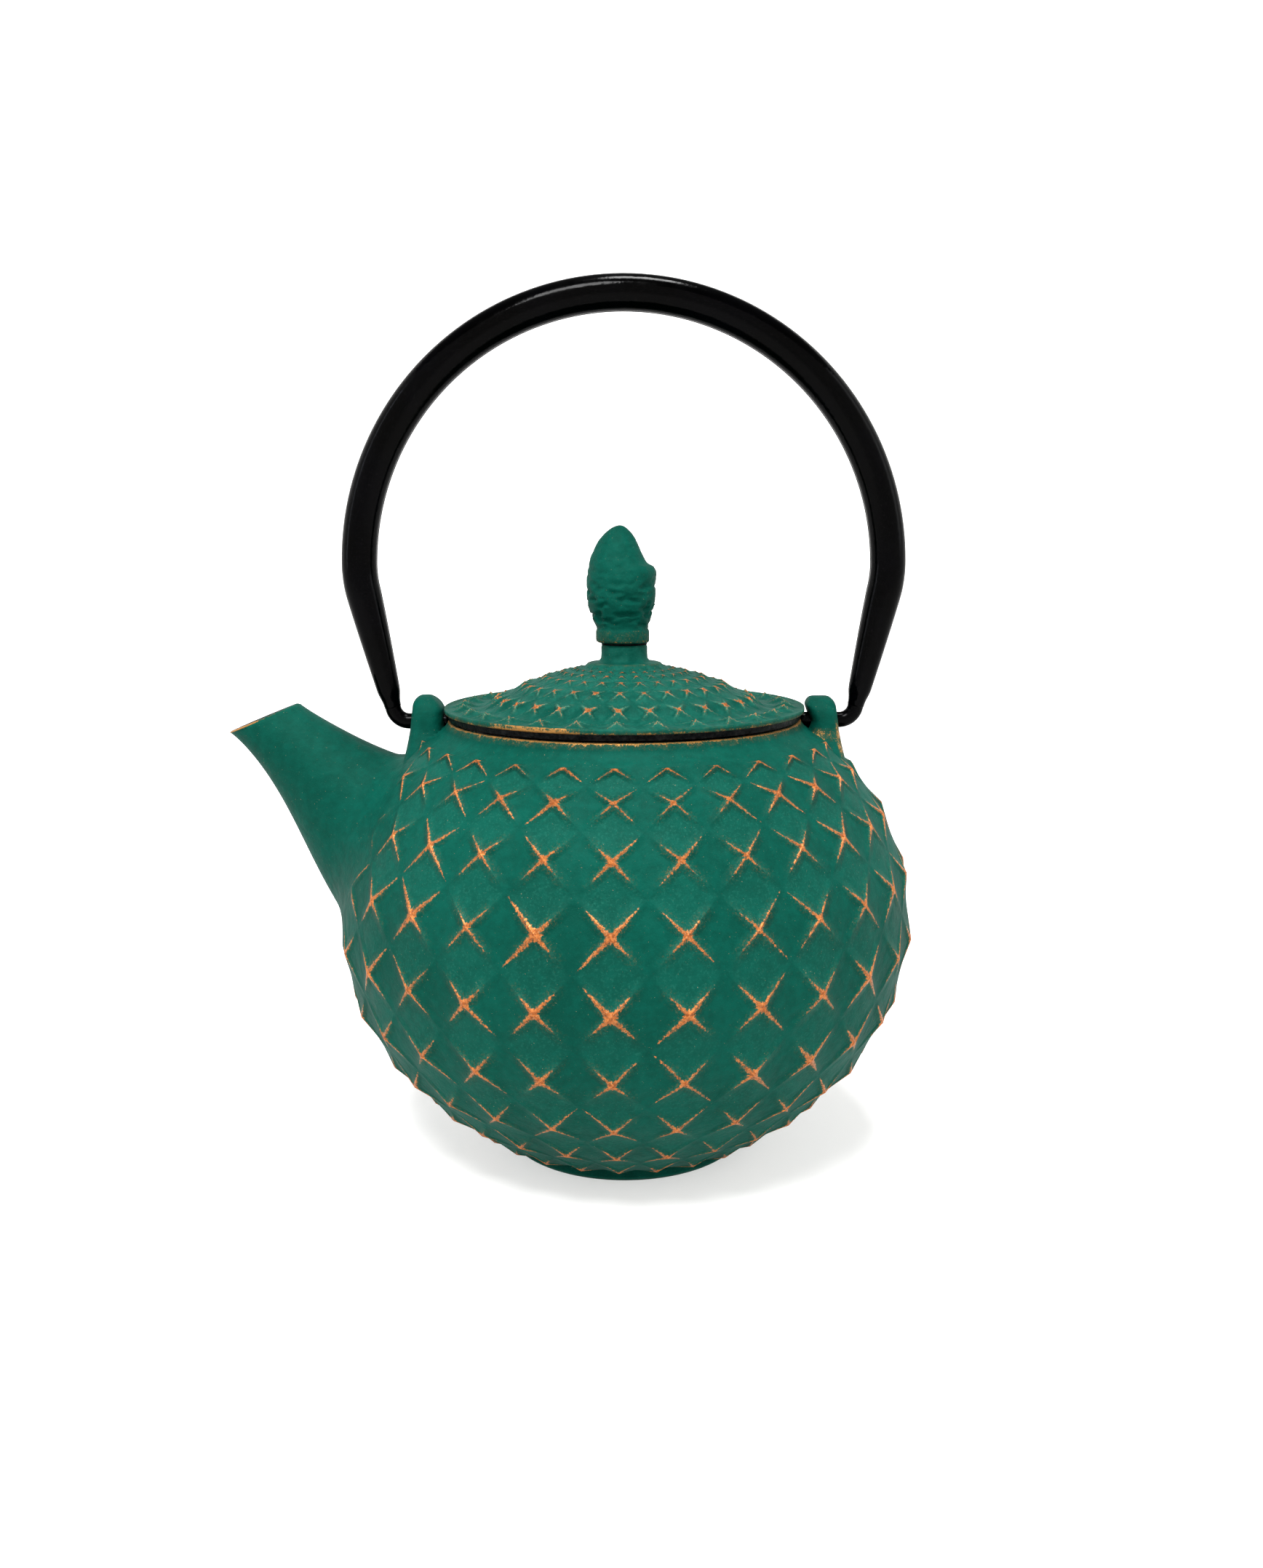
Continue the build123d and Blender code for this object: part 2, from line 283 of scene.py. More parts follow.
# Backdrop, lights and camera, in metres. A light has a name, a place, a size, watts and a colour
FLOOR_RADIUS = 1.6
WALL_CURVE = 0.9
WALL_SIDES = 96
LIGHTS = (
    ("key_light", (-0.2, -0.75, 1.2), (0.35, 0.35), 26.0, (1.0, 1.0, 1.0)),
    ("top_light", (0.1, 0.0, 1.5), (0.35, 0.35), 26.0, (1.0, 1.0, 1.0)),
    ("side_light", (1.3, -0.2, 0.7), (0.4, 1.0), 4.0, (0.93, 0.97, 1.0)),
    ("edge_light", (-1.3, -0.3, 0.6), (0.05, 1.0), 3.0, (0.8, 0.87, 1.0)),
)
SKY_COLOUR = (0.97, 0.985, 1.0, 1.0)
SKY_STRENGTH = 0.3
CAMERA_PLACE = (0.0, -0.3388, 0.1589)

# The camera's yaw, pitch and roll in degrees, and its lens in millimetres
CAMERA_TURN = (0.3, 10.5, -0.16)
LENS = 29.97
SENSOR_WIDTH = 36.0

# Lattice and wear values of a face corner with neither
BLANK = (0.0, 0.0, 0.0, 0.0)


# ---------------------------------------------------------------- mesh building


class Skin:
    """Vertices and faces of one mesh, with lattice and wear values on each face corner."""

    def __init__(self):
        self.points = []
        self.faces = []
        self.corners = []
        self.slots = []

    def add_points(self, points):
        first = len(self.points)
        self.points.extend(tuple(float(c) for c in point) for point in points)
        return first

    def add_face(self, indices, corners, slot=0):
        self.faces.append(tuple(indices))
        self.corners.append(tuple(corners))
        self.slots.append(slot)

    def make(self, name, materials):
        """Makes the Blender object, in metres."""
        mesh = bpy.data.meshes.new(name)
        mesh.from_pydata(np.array(self.points) * MM, [], self.faces)
        values = np.array([value for face in self.corners for value in face], float)
        lattice = mesh.attributes.new("lattice", "FLOAT_VECTOR", "CORNER")
        lattice.data.foreach_set("vector", values[:, :3].ravel())
        wear = mesh.attributes.new("wear", "FLOAT", "CORNER")
        wear.data.foreach_set("value", values[:, 3].ravel())
        for material in materials:
            mesh.materials.append(material)
        mesh.polygons.foreach_set("material_index", self.slots)
        mesh.polygons.foreach_set("use_smooth", [True] * len(self.faces))
        mesh.update()
        piece = bpy.data.objects.new(name, mesh)
        bpy.context.scene.collection.objects.link(piece)
        return piece


class Ring:
    """One closed row of points with its lattice row and its masks for stars and wear."""

    def __init__(self, points, row=0.0, stars=0.0, wear=0.0, slot=0):
        count = len(points)
        self.points = np.array(points, float)
        self.row = row
        self.stars = np.broadcast_to(np.asarray(stars, float), count)
        self.wear = np.broadcast_to(np.asarray(wear, float), count)
        self.slot = slot
        self.first = None


def smoothstep(low, high, value):
    """0 below low, 1 above high, and an even curve between."""
    share = np.clip((np.asarray(value, float) - low) / (high - low), 0.0, 1.0)
    return share * share * (3 - 2 * share)


def ring_azimuths(steps):
    """Azimuths of a ring's points. The seam lies half-way between two columns of stars."""
    columns = 0.5 + np.arange(COLUMNS * steps) / steps
    return COLUMN_TURN + columns * CELL


def unit(vectors):
    """The same directions with a length of one."""
    return vectors / np.linalg.norm(vectors, axis=1)[:, None]


def full_turn(count):
    """Evenly spaced angles once round."""
    return np.linspace(0, 2 * math.pi, count, endpoint=False)


def circle(radius, height, azimuths):
    """A level circle about the pot's axis."""
    return np.stack(
        [radius * np.sin(azimuths), -radius * np.cos(azimuths), np.full(len(azimuths), height)], 1
    )


def ring_corner(ring, index, steps):
    """The lattice and wear values at a ring's point; index may run one past the end."""
    wrapped = index % len(ring.points)
    return (0.5 + index / steps, ring.row, ring.stars[wrapped], ring.wear[wrapped])


def weave_rings(skin, rings, steps, skip=None):
    """Joins rings into a skin of triangles whose diagonals follow the lattice's ridges."""
    count = len(rings[0].points)
    for ring in rings:
        ring.first = skin.add_points(ring.points)
    for number, (lower, upper) in enumerate(zip(rings, rings[1:])):
        middle_row = (lower.row + upper.row) / 2
        for index in range(count):
            if skip is not None and skip[number, index]:
                continue
            places = ((lower, index), (lower, index + 1), (upper, index + 1), (upper, index))
            indices = [ring.first + place % count for ring, place in places]
            corners = [ring_corner(ring, place, steps) for ring, place in places]
            column = 0.5 + (index + 0.5) / steps
            rising = (column % 1.0 - 0.5) * (middle_row % 1.0 - 0.5) < 0
            for half in ((0, 1, 2), (0, 2, 3)) if rising else ((0, 1, 3), (1, 2, 3)):
                skin.add_face([indices[k] for k in half], [corners[k] for k in half], upper.slot)


def inside_polygon(points, polygon):
    """True for each 2-D point inside a closed polygon."""
    x, y = points[:, 0][:, None], points[:, 1][:, None]
    x0, y0 = polygon[:, 0][None], polygon[:, 1][None]
    x1, y1 = np.roll(polygon[:, 0], -1)[None], np.roll(polygon[:, 1], -1)[None]
    spans = (y0 > y) != (y1 > y)
    rise = np.where(y1 == y0, 1.0, y1 - y0)
    crossing = x0 + (y - y0) / rise * (x1 - x0)
    return (np.sum(spans & (x < crossing), axis=1) % 2) == 1


def distance_to_loop(points, loop):
    """Distance from each point to the nearest vertex of a loop."""
    result = np.empty(len(points))
    for start in range(0, len(points), 4000):
        block = points[start : start + 4000]
        gaps = np.linalg.norm(block[:, None] - loop[None], axis=2)
        result[start : start + 4000] = gaps.min(1)
    return result


def stitch_loop(skin, rings, skip, loop, slot, facing):
    """Fills the gap between the hole left in woven rings and a loop of points inside it.

    facing is 1 where the skin faces away from the bowl's middle, and -1 inside it.
    """
    border = hole_border(rings, skip)
    border_flat = np.array([flat_place(rings[n].points[i]) for n, i in border])
    loop_flat = np.array([flat_place(skin.points[k]) for k in loop])
    point_of = [rings[n].first + i for n, i in border] + list(loop)
    size, loop_size = len(border), len(loop)
    limits = [(k, (k + 1) % size) for k in range(size)]
    limits += [(size + k, size + (k + 1) % loop_size) for k in range(loop_size)]
    flat = [Vector(place) for place in np.vstack([border_flat, loop_flat])]
    found, _, triangles, origins, *_ = geometry.delaunay_2d_cdt(flat, limits, [], 0, 1e-7)
    centres = np.array([sum((found[k] for k in t), Vector((0, 0))) / 3 for t in triangles])
    wanted = inside_polygon(centres, border_flat) & ~inside_polygon(centres, loop_flat)
    for triangle, keep in zip(triangles, wanted):
        if keep:
            corners = [point_of[origins[k][0]] for k in triangle]
            if facing * outwardness(skin, corners) < 0:
                corners.reverse()
            skin.add_face(corners, [BLANK] * 3, slot)


def hole_border(rings, skip):
    """The (ring, point) pairs round the faces that skip leaves out, in order."""
    count = len(rings[0].points)
    edges = set()
    for number, index in zip(*np.nonzero(skip)):
        after = (index + 1) % count
        corners = [(number, index), (number, after), (number + 1, after), (number + 1, index)]
        for start, end in zip(corners, corners[1:] + corners[:1]):
            if (end, start) in edges:
                edges.remove((end, start))
            else:
                edges.add((start, end))
    following = dict(edges)
    border = [min(following)]
    while following[border[-1]] != border[0]:
        border.append(following[border[-1]])
    return border


def outwardness(skin, corners):
    """Positive if a triangle faces away from the bowl's middle."""
    a, b, c = (Vector(skin.points[k]) for k in corners)
    return (b - a).cross(c - a).dot((a + b + c) / 3 - Vector((0, 0, BELLY_HEIGHT)))


def bridge(skin, low, high, low_wear, high_wear, slot=0):
    """Four-sided faces between two rows that start at the points low and high."""
    count = len(low_wear)
    for index in range(count):
        after = (index + 1) % count
        values = (low_wear[index], low_wear[after], high_wear[after], high_wear[index])
        face = (low + index, low + after, high + after, high + index)
        skin.add_face(face, [(0.0, 0.0, 0.0, float(wear)) for wear in values], slot)


def weave_tube(skin, rows, wears, slots):
    """Joins rows of equal length into a tube and returns the first index of each row."""
    starts = [skin.add_points(row) for row in rows]
    for number in range(len(rows) - 1):
        bridge(skin, *starts[number : number + 2], *wears[number : number + 2], slots[number])
    return starts


def cap_row(skin, first, count, centre, last, slot=0):
    """Fans a row of points to one centre point; last is True at the end of a tube."""
    middle = skin.add_points([centre])
    for index in range(count):
        a, b = first + index, first + (index + 1) % count
        skin.add_face((a, b, middle) if last else (b, a, middle), [BLANK] * 3, slot)


def close_ring(skin, ring, centre, last):
    cap_row(skin, ring.first, len(ring.points), centre, last, ring.slot)


def closed_tube(skin, rows, wears, first_centre, last_centre, inner_rows=0):
    """A tube capped at both ends. Its first inner_rows bands take the second material."""
    slots = [1] * inner_rows + [0] * (len(rows) - 1 - inner_rows)
    starts = weave_tube(skin, rows, wears, slots)
    cap_row(skin, starts[0], len(rows[0]), first_centre, last=False)
    cap_row(skin, starts[-1], len(rows[0]), last_centre, last=True)


# ---------------------------------------------------------------- bowl and spout


def bowl_surface(azimuth, angle, lift):
    """Points on the bowl's ellipse at a polar angle, moved out along its normal by lift."""
    across, up = np.cos(angle) / BELLY_RADIUS, np.sin(angle) / BELLY_HALF_HEIGHT
    size = np.hypot(across, up)
    radius = BELLY_RADIUS * np.cos(angle) + across / size * lift
    height = BELLY_HEIGHT + BELLY_HALF_HEIGHT * np.sin(angle) + up / size * lift
    azimuth, radius, height = np.broadcast_arrays(azimuth, radius, height)
    return np.stack([radius * np.sin(azimuth), -radius * np.cos(azimuth), height], -1)


def bowl_place(point):
    """The azimuth and polar angle of points near the bowl's wall."""
    x, y, z = np.moveaxis(np.asarray(point, float), -1, 0)
    angle = np.arctan2((z - BELLY_HEIGHT) / BELLY_HALF_HEIGHT, np.hypot(x, y) / BELLY_RADIUS)
    return np.arctan2(x, -y), angle


def flat_place(point):
    """A flat map of the bowl's wall, roughly in millimetres."""
    azimuth, angle = bowl_place(point)
    return float(azimuth * BELLY_RADIUS), float(angle * BELLY_HALF_HEIGHT)


def star_relief(columns, rows):
    """Height from 0 to 1: a peak on each star, sharp ridges on its diagonals, hollows between."""
    along = np.abs((columns + rows + 1) % 2 - 1)
    across = np.abs((columns - rows + 1) % 2 - 1)
    near = (1 - along) * (1 - across)
    far = along * across
    fold = np.minimum(np.minimum(along, across), np.minimum(1 - along, 1 - across))
    ridge = np.clip(1 - fold / RIDGE_WIDTH, 0, 1) * RIDGE_HEIGHT
    return near**RELIEF_POWER + far**RELIEF_POWER + ridge


def star_row_angles(rows):
    """The bowl's polar angle at each lattice row, through the heights of the rows of stars."""
    heights = (np.array(STAR_HEIGHTS) - BELLY_HEIGHT) / BELLY_HALF_HEIGHT
    curve = np.polyfit(np.arange(len(heights)), np.arcsin(heights), 5)
    return np.polyval(curve, rows)


def spout_curves(share):
    """Low and high point and half width of the spout's section; share counts sections."""
    values = [(*low, *high, width) for low, high, width in SPOUT_SECTIONS]
    curve = np.polyfit(np.arange(len(values)), np.array(values), len(values) - 1)
    powers = np.arange(len(values))[::-1]
    return np.tensordot(np.asarray(share, float)[..., None] ** powers, curve, 1)


def spout_points(share, turn, inset):
    """Points on the spout's outside, or on its passage when inset by the wall."""
    low_x, low_z, high_x, high_z, width = np.moveaxis(spout_curves(share), -1, 0)
    half_x, half_z = (high_x - low_x) / 2, (high_z - low_z) / 2
    scale = 1 - inset / np.hypot(half_x, half_z)
    x = (low_x + high_x) / 2 + np.cos(turn) * half_x * scale
    z = (low_z + high_z) / 2 + np.cos(turn) * half_z * scale
    return np.stack([x, np.sin(turn) * (width - inset), z], -1)


def spout_meets(turns, inset, depth):
    """For each line along the spout, the section number at which it meets the bowl's wall."""
    shares = np.linspace(0, len(SPOUT_SECTIONS) - 1, 601)
    grid = spout_points(shares[:, None], turns[None], inset)
    across = np.hypot(grid[..., 0], grid[..., 1]) / (BELLY_RADIUS - depth)
    up = (grid[..., 2] - BELLY_HEIGHT) / (BELLY_HALF_HEIGHT - depth)
    inside = across**2 + up**2 < 1
    return shares[np.argmax(inside, axis=0)]


def spout_flare(turns):
    """Rows of points from the bowl's wall up to the spout's side: a smooth fillet."""
    sunk = (1 - PLAIN_LEVEL) * RELIEF_HEIGHT - BOWL_SWELL
    meets = spout_meets(turns, 0.0, sunk)
    side = np.abs(np.sin(turns))
    upper = np.clip(np.cos(turns), 0, 1)
    meeting = spout_points(meets, turns, 0.0)
    step = 0.01
    along = (meeting - spout_points(meets - step, turns, 0.0)) / step
    pace = np.linalg.norm(along, axis=1)
    # The fillet is narrow above and below the spout and wide at its sides.
    back = (3.5 + 6.5 * side**2) / pace
    start = spout_points(meets - back, turns, 0.0)
    start_way = (spout_points(meets - back + step, turns, 0.0) - start) / step
    reach = 3.0 + 8.0 * side**1.5 - 0.5 * upper
    spread = unit(meeting - meeting.mean(0))
    azimuth, angle = bowl_place(meeting + spread * reach[:, None])
    foot = bowl_surface(azimuth, angle, -sunk)
    back_azimuth, back_angle = bowl_place(meeting + spread * (reach - 1.0)[:, None])
    foot_way = foot - bowl_surface(back_azimuth, back_angle, -sunk)
    span = np.linalg.norm(foot - start, axis=1)[:, None]
    start_way *= span / np.linalg.norm(start_way, axis=1)[:, None]
    foot_way *= span / np.linalg.norm(foot_way, axis=1)[:, None]
    rows = []
    for t in np.linspace(1, 0, 11):
        curve = (2 * t**3 - 3 * t**2 + 1) * start + (t**3 - 2 * t**2 + t) * start_way
        curve = curve + (3 * t**2 - 2 * t**3) * foot + (t**3 - t**2) * foot_way
        rows.append(curve)
    return rows, meets - back


def relief_size(angle):
    """The relief's share of its full height, which shrinks towards the foot and the rim."""
    return 0.55 + 0.45 * math.cos(angle)


def lug_gap(points):
    """Distance in plan from points high on the bowl to the nearest lug's base."""
    across = np.abs(np.abs(points[..., 0]) - LUG_MIDDLE_X) - LUG_HALF_LENGTH
    along = np.abs(points[..., 1]) - LUG_HALF_WIDTH
    gap = np.hypot(np.clip(across, 0, None), np.clip(along, 0, None))
    return np.where(points[..., 2] > 90, gap, 100.0)


def bowl_rings(azimuths, flare_foot):
    """The bowl's rings from the middle of the foot, up the outside and down the inside."""
    rings = []
    for out, height in FOOT_OUTLINE:
        rings.append(Ring(circle(FOOT_RADIUS + out, height, azimuths)))
    columns = (azimuths - COLUMN_TURN) / CELL
    last_row = LAST_ROW_STEP / BOWL_STEPS
    rows = np.arange(LAST_ROW_STEP, -round(0.25 * BOWL_STEPS) - 1, -1) / BOWL_STEPS
    for row in rows:
        angle = star_row_angles(row)
        flat = bowl_surface(azimuths, angle, 0.0)
        clear = smoothstep(0.3, 7.0, distance_to_loop(flat, flare_foot))
        clear = clear * smoothstep(0.0, 3.0, lug_gap(flat))
        ends = smoothstep(-0.16, 0.02, row) * smoothstep(last_row, last_row - 0.3, row)
        shown = clear * ends
        level = PLAIN_LEVEL + shown * (star_relief(columns, row) - PLAIN_LEVEL)
        lift = (level - 1) * RELIEF_HEIGHT * relief_size(angle) + BOWL_SWELL
        lift = lift + BASE_SWELL * float(smoothstep(6.5, 8.6, row))
        rings.append(Ring(bowl_surface(azimuths, angle, lift), row, shown))
    top_angle = star_row_angles(rows[-1])
    sunk = (PLAIN_LEVEL - 1) * RELIEF_HEIGHT * relief_size(top_angle)
    rim_angle = math.asin((RIM_HEIGHT - 0.8 - BELLY_HEIGHT) / BELLY_HALF_HEIGHT)
    for share in (0.2, 0.4, 0.6, 0.8, 0.93, 1.0):
        angle = top_angle + share * (rim_angle - top_angle)
        dip = NECK_DIP * math.sin(math.pi * share)
        lift = sunk - dip + BOWL_SWELL * (1 - share)
        wear = 0.16 if share == 1.0 else 0.0
        rings.append(Ring(bowl_surface(azimuths, angle, lift), -share, 0.0, wear))
    for radius, height, wear, slot in RIM_OUTLINE:
        rings.append(Ring(circle(radius, height, azimuths), -1.0, 0.0, wear, slot))
    return rings


def cavity_rings(azimuths):
    """The rings of the bowl's inside, from under the lip to the edge of the floor."""
    radius, half_height = BELLY_RADIUS - WALL, BELLY_HALF_HEIGHT - WALL
    high = math.asin((RIM_HEIGHT - LIP_THICKNESS - 0.4 - BELLY_HEIGHT) / half_height)
    low = math.asin((FLOOR_THICKNESS - BELLY_HEIGHT) / half_height)
    rings = []
    for angle in np.linspace(high, low, 32):
        height = BELLY_HEIGHT + half_height * math.sin(angle)
        rings.append(Ring(circle(radius * math.cos(angle), height, azimuths), -1.0, slot=1))
    return rings


def faces_to_skip(rings, loop, margin):
    """Marks the faces with a corner inside a loop on the bowl, or nearer to it than margin."""
    points = np.array([ring.points for ring in rings])
    azimuth, angle = bowl_place(points)
    flat = np.stack([azimuth * BELLY_RADIUS, angle * BELLY_HALF_HEIGHT], -1)
    loop_flat = np.array([flat_place(point) for point in loop])
    shape = flat.shape[:2]
    flat = flat.reshape(-1, 2)
    low, high = loop_flat.min(0) - margin, loop_flat.max(0) + margin
    near = np.all((flat > low) & (flat < high), axis=1)
    taken = np.zeros(len(flat), bool)
    close = distance_to_loop(flat[near], loop_flat) < margin
    taken[near] = inside_polygon(flat[near], loop_flat) | close
    taken = taken.reshape(shape)
    corners = taken | np.roll(taken, -1, axis=1)
    return corners[:-1] | corners[1:]


def pot_skin():
    """The whole casting but its lugs: bowl, spout and the passage between them."""
    skin = Skin()
    azimuths = ring_azimuths(BOWL_STEPS)
    turns = full_turn(SPOUT_SIDES)
    flare, flare_end = spout_flare(turns)
    outer = bowl_rings(azimuths, flare[0])
    outer_skip = faces_to_skip(outer, flare[0], STITCH_MARGIN)
    weave_rings(skin, outer, BOWL_STEPS, outer_skip)
    close_ring(skin, outer[0], (0, 0, 0), last=False)
    inner = cavity_rings(azimuths)
    passage_end = spout_meets(turns, SPOUT_WALL, WALL)
    passage_foot = spout_points(passage_end, turns, SPOUT_WALL)
    inner_skip = faces_to_skip(inner, passage_foot, STITCH_MARGIN)
    weave_rings(skin, inner, BOWL_STEPS, inner_skip)
    bridge(skin, outer[-1].first, inner[0].first, outer[-1].wear, inner[0].wear, 1)
    close_ring(skin, inner[-1], (0, 0, FLOOR_THICKNESS), last=True)

    rows, wears, slots = spout_rows(turns, flare, flare_end, passage_end)
    starts = weave_tube(skin, rows, wears, slots)
    loop = range(starts[0], starts[0] + SPOUT_SIDES)
    stitch_loop(skin, outer, outer_skip, loop, 0, 1)
    loop = range(starts[-1], starts[-1] + SPOUT_SIDES)
    stitch_loop(skin, inner, inner_skip, loop, 1, -1)
    return skin


def spout_rows(turns, flare, flare_end, passage_end):
    """The spout's rows from its fillet to the lip and back down its passage."""
    rows = list(flare)
    plain = np.zeros(len(turns))
    wears = [plain] * len(rows)
    for share in np.linspace(1, 0.02, 30)[1:]:
        rows.append(spout_points(flare_end * share, turns, 0.0))
        wears.append(plain)
    low_x, low_z, high_x, high_z, _ = spout_curves(0.0)
    chord = np.array([high_x - low_x, 0, high_z - low_z])
    outward = np.array([-chord[2], 0, chord[0]]) / np.linalg.norm(chord)
    low_side = smoothstep(0.35, -0.3, np.cos(turns))
    for inset, lift, wear in SPOUT_LIP_OUTSIDE:
        rows.append(spout_points(0.0, turns, inset) + outward * lift)
        wears.append(wear * (0.25 + 0.75 * low_side))
    painted = len(rows) - 1
    for inset, lift in SPOUT_LIP_INSIDE:
        rows.append(spout_points(0.0, turns, inset) + outward * lift)
        wears.append(plain)
    for share in np.linspace(0, 1, 26)[1:]:
        rows.append(spout_points(passage_end * share, turns, SPOUT_WALL))
        wears.append(plain)
    slots = [0 if number < painted else 1 for number in range(len(rows) - 1)]
    return rows, wears, slots


def lug_skin(side):
    """One lug as a closed skin: an upright block that flares into the bowl's shoulder."""
    turns = full_turn(LUG_SIDES)
    cosines, sines = np.cos(turns), np.sin(turns)
    rows, wears = [], []
    top = LUG_TOPS[side]
    lower = np.linspace(LUG_FOOT, LUG_SHOULDER, 30)
    for height in np.concatenate([lower, np.linspace(LUG_SHOULDER, top, 16)[1:]]):
        over = max(0.0, height - PIVOT_HEIGHT) / (top + 0.05 - PIVOT_HEIGHT)
        half_width = LUG_HALF_WIDTH * (1 - over**2.6) ** 0.5
        spread = max(0.0, (LUG_SPREAD_TOP - height) / LUG_SPREAD_HEIGHT)
        half_width += LUG_SPREAD * spread**2.2
        outer = np.interp(height, (LUG_FOOT, 104, 111, PIVOT_HEIGHT, top), LUG_OUTER_SIDE)
        inner = np.interp(height, *LUG_INNER_SIDES[side])
        round_over = max(0.0, height - (top - LUG_ROUNDING)) / (LUG_ROUNDING + 0.05)
        pull = 2.4 * (1 - math.sqrt(1 - round_over**2))
        outer, inner = outer - pull, inner + 0.8 * pull
        middle, half_length = (outer + inner) / 2, (outer - inner) / 2
        x = middle + half_length * np.sign(cosines) * np.abs(cosines) ** LUG_SQUARENESS
        y = half_width * np.sign(sines) * np.abs(sines) ** LUG_SQUARENESS
        rows.append(np.stack([side * x, side * y, np.full(LUG_SIDES, height)], 1))
        corner = smoothstep(0.25, 0.55, cosines) * smoothstep(0.2, -0.2, sines)
        low = float(smoothstep(103.0, 106.0, height) * smoothstep(115.0, 111.5, height))
        band = smoothstep(-0.35, -0.75, sines) * float(smoothstep(107.5, 109.6, height))
        band = band * float(smoothstep(112.6, 110.8, height)) * 0.4
        worn = np.maximum(0.5 * corner * low, band) if side > 0 else 0.12 * corner * low
        wears.append(worn)
    skin = Skin()
    foot_centre = (side * LUG_MIDDLE_X, 0, LUG_FOOT)
    closed_tube(skin, rows, wears, foot_centre, (side * LUG_CROWN_X, 0, top + 0.02))
    return skin


def hook_hole_cutter(side):
    """A closed cylinder along X that cuts the hook's hole through a lug."""
    skin = Skin()
    turns = full_turn(HOLE_SIDES)
    rows = []
    ends = (side * HOOK_HOLE_START_X, side * HOOK_HOLE_END_X)
    for x in ends:
        y = HOOK_HOLE_RADIUS * np.cos(turns)
        z = PIVOT_HEIGHT + HOOK_HOLE_RADIUS * np.sin(turns)
        rows.append(np.stack([np.full(HOLE_SIDES, x), side * y, z], 1))
    wears = [np.zeros(HOLE_SIDES)] * 2
    closed_tube(skin, rows, wears, *[(x, 0, PIVOT_HEIGHT) for x in ends])
    return skin


def combine(piece, other, operation):
    """Applies an exact boolean to a piece and removes the other object."""
    cut = piece.modifiers.new(operation, "BOOLEAN")
    cut.operation = operation
    cut.object = other
    cut.solver = "EXACT"
    bpy.context.view_layer.update()
    graph = bpy.context.evaluated_depsgraph_get()
    mesh = bpy.data.meshes.new_from_object(piece.evaluated_get(graph))
    piece.modifiers.remove(cut)
    piece.data = mesh
    bpy.data.objects.remove(other)


def make_pot(paint, enamel):
    """The pot's casting, ready to ride on its body."""
    pot = pot_skin().make("pot_body", [paint, enamel])
    for side in (-1, 1):
        combine(pot, lug_skin(side).make(f"lug_{side}", [paint, enamel]), "UNION")
        combine(pot, hook_hole_cutter(side).make(f"hole_{side}", [paint, enamel]), "DIFFERENCE")
    return pot


# ---------------------------------------------------------------- lid and knob


def lid_top(radius):
    """Height of the lid's upper surface through the tips of its stars."""
    dome = LID_SPHERE_CENTRE + math.sqrt(LID_SPHERE_RADIUS**2 - min(radius, 32.0) ** 2)
    brim = LID_EDGE_TOP + (LID_RADIUS - radius) * BRIM_SLOPE
    share = float(smoothstep(DOME_END, BRIM_START, radius))
    return dome + share * (brim - dome)


def lid_under(radius):
    """Height of the dome's underside."""
    return LID_SPHERE_CENTRE - LID_THICKNESS + math.sqrt(LID_SPHERE_RADIUS**2 - radius**2)


def hanging_ridge(inner, outer, bottom, rounding):
    """Outline of a ring under the lid, from its inside to its outside."""
    low = [(inner + rounding, bottom), (outer - rounding, bottom)]
    return [(inner, bottom + rounding)] + low + [(outer, bottom + rounding)]


